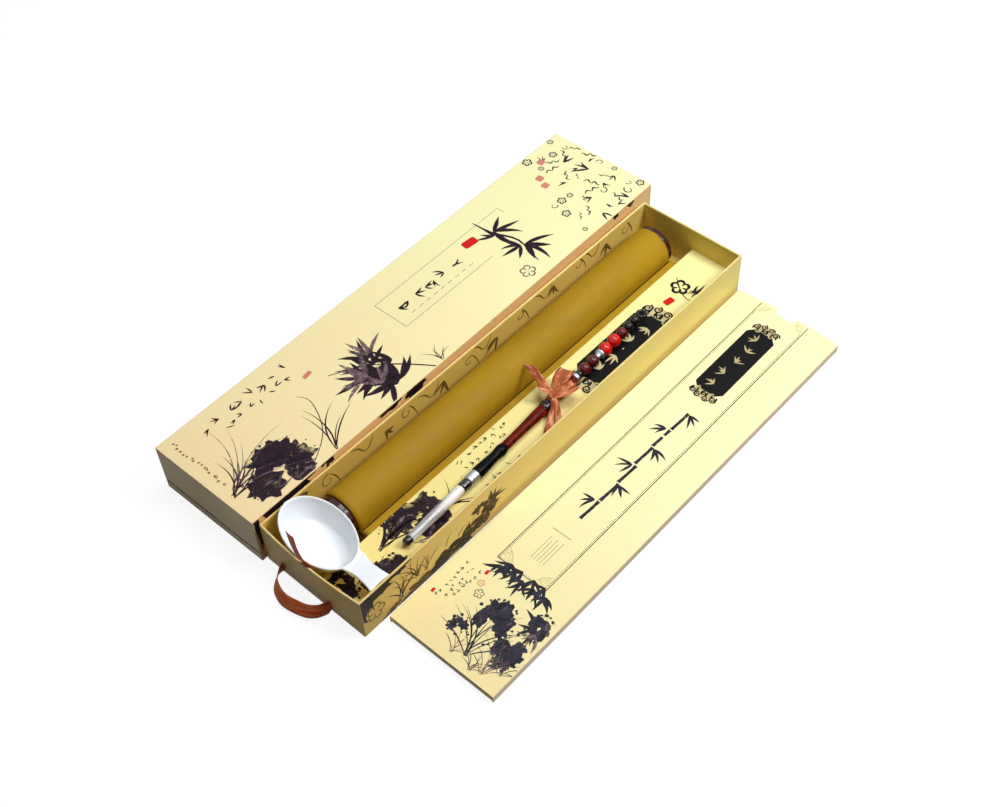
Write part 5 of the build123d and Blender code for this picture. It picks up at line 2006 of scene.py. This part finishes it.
class SETBOX_OT_dish(Builder, bpy.types.Operator):
    """Glazed dish with its flat handle"""
    bl_idname = "setbox.dish"
    bl_label = "Dish"

    def execute(self, context):
        return finished(make_dish)


class SETBOX_OT_pull_ribbon(Builder, bpy.types.Operator):
    """Satin loop and lifting tail of the tray"""
    bl_idname = "setbox.pull_ribbon"
    bl_label = "Pull ribbon"

    def execute(self, context):
        return finished(make_pull_ribbon)


class SETBOX_OT_bow(Builder, bpy.types.Operator):
    """Satin bow tied round the brush handle"""
    bl_idname = "setbox.bow"
    bl_label = "Bow"

    def execute(self, context):
        return finished(make_bow)


class SETBOX_OT_boards(Builder, bpy.types.Operator):
    """Finishes of the boards, rods and practice cards"""
    bl_idname = "setbox.boards"
    bl_label = "Boards and cards"

    def execute(self, context):
        return finished(dress_nodes)


class SETBOX_PT_panel(bpy.types.Panel):
    """Sizes and builders of the calligraphy set box"""
    bl_label = "Calligraphy set box"
    bl_idname = "SETBOX_PT_panel"
    bl_space_type = "VIEW_3D"
    bl_region_type = "UI"
    bl_category = "Set box"

    def draw(self, context):
        for part in PARTS:
            group = getattr(context.scene.calligraphy_set, part)
            box = self.layout.box()
            box.label(text=part.capitalize())
            for name in own_properties(group):
                box.prop(group, name)
        column = self.layout.column(align=True)
        for operator in OPERATORS:
            column.operator(operator.bl_idname)


# --- registration

OPERATORS = (
    SETBOX_OT_finishes, SETBOX_OT_stage, SETBOX_OT_brush,
    SETBOX_OT_bead_cord, SETBOX_OT_tray, SETBOX_OT_platform,
    SETBOX_OT_sleeve, SETBOX_OT_folder, SETBOX_OT_prints,
    SETBOX_OT_cloth, SETBOX_OT_dish, SETBOX_OT_pull_ribbon,
    SETBOX_OT_bow, SETBOX_OT_boards,
)


CLASSES = (*PARTS.values(), SetSettings, *OPERATORS, SETBOX_PT_panel)


def register():
    for cls in CLASSES:
        bpy.utils.register_class(cls)
    bpy.types.Scene.calligraphy_set = PointerProperty(type=SetSettings)


def unregister():
    del bpy.types.Scene.calligraphy_set
    for cls in reversed(CLASSES):
        bpy.utils.unregister_class(cls)


def main():
    register()
    bpy.ops.setbox.finishes()
    bpy.ops.setbox.stage()
    bpy.ops.setbox.brush()
    bpy.ops.setbox.bead_cord()
    bpy.ops.setbox.tray()
    bpy.ops.setbox.platform()
    bpy.ops.setbox.sleeve()
    bpy.ops.setbox.folder()
    bpy.ops.setbox.prints()
    bpy.ops.setbox.cloth()
    bpy.ops.setbox.dish()
    bpy.ops.setbox.pull_ribbon()
    bpy.ops.setbox.bow()
    bpy.ops.setbox.boards()


if __name__ == "__main__":
    main()
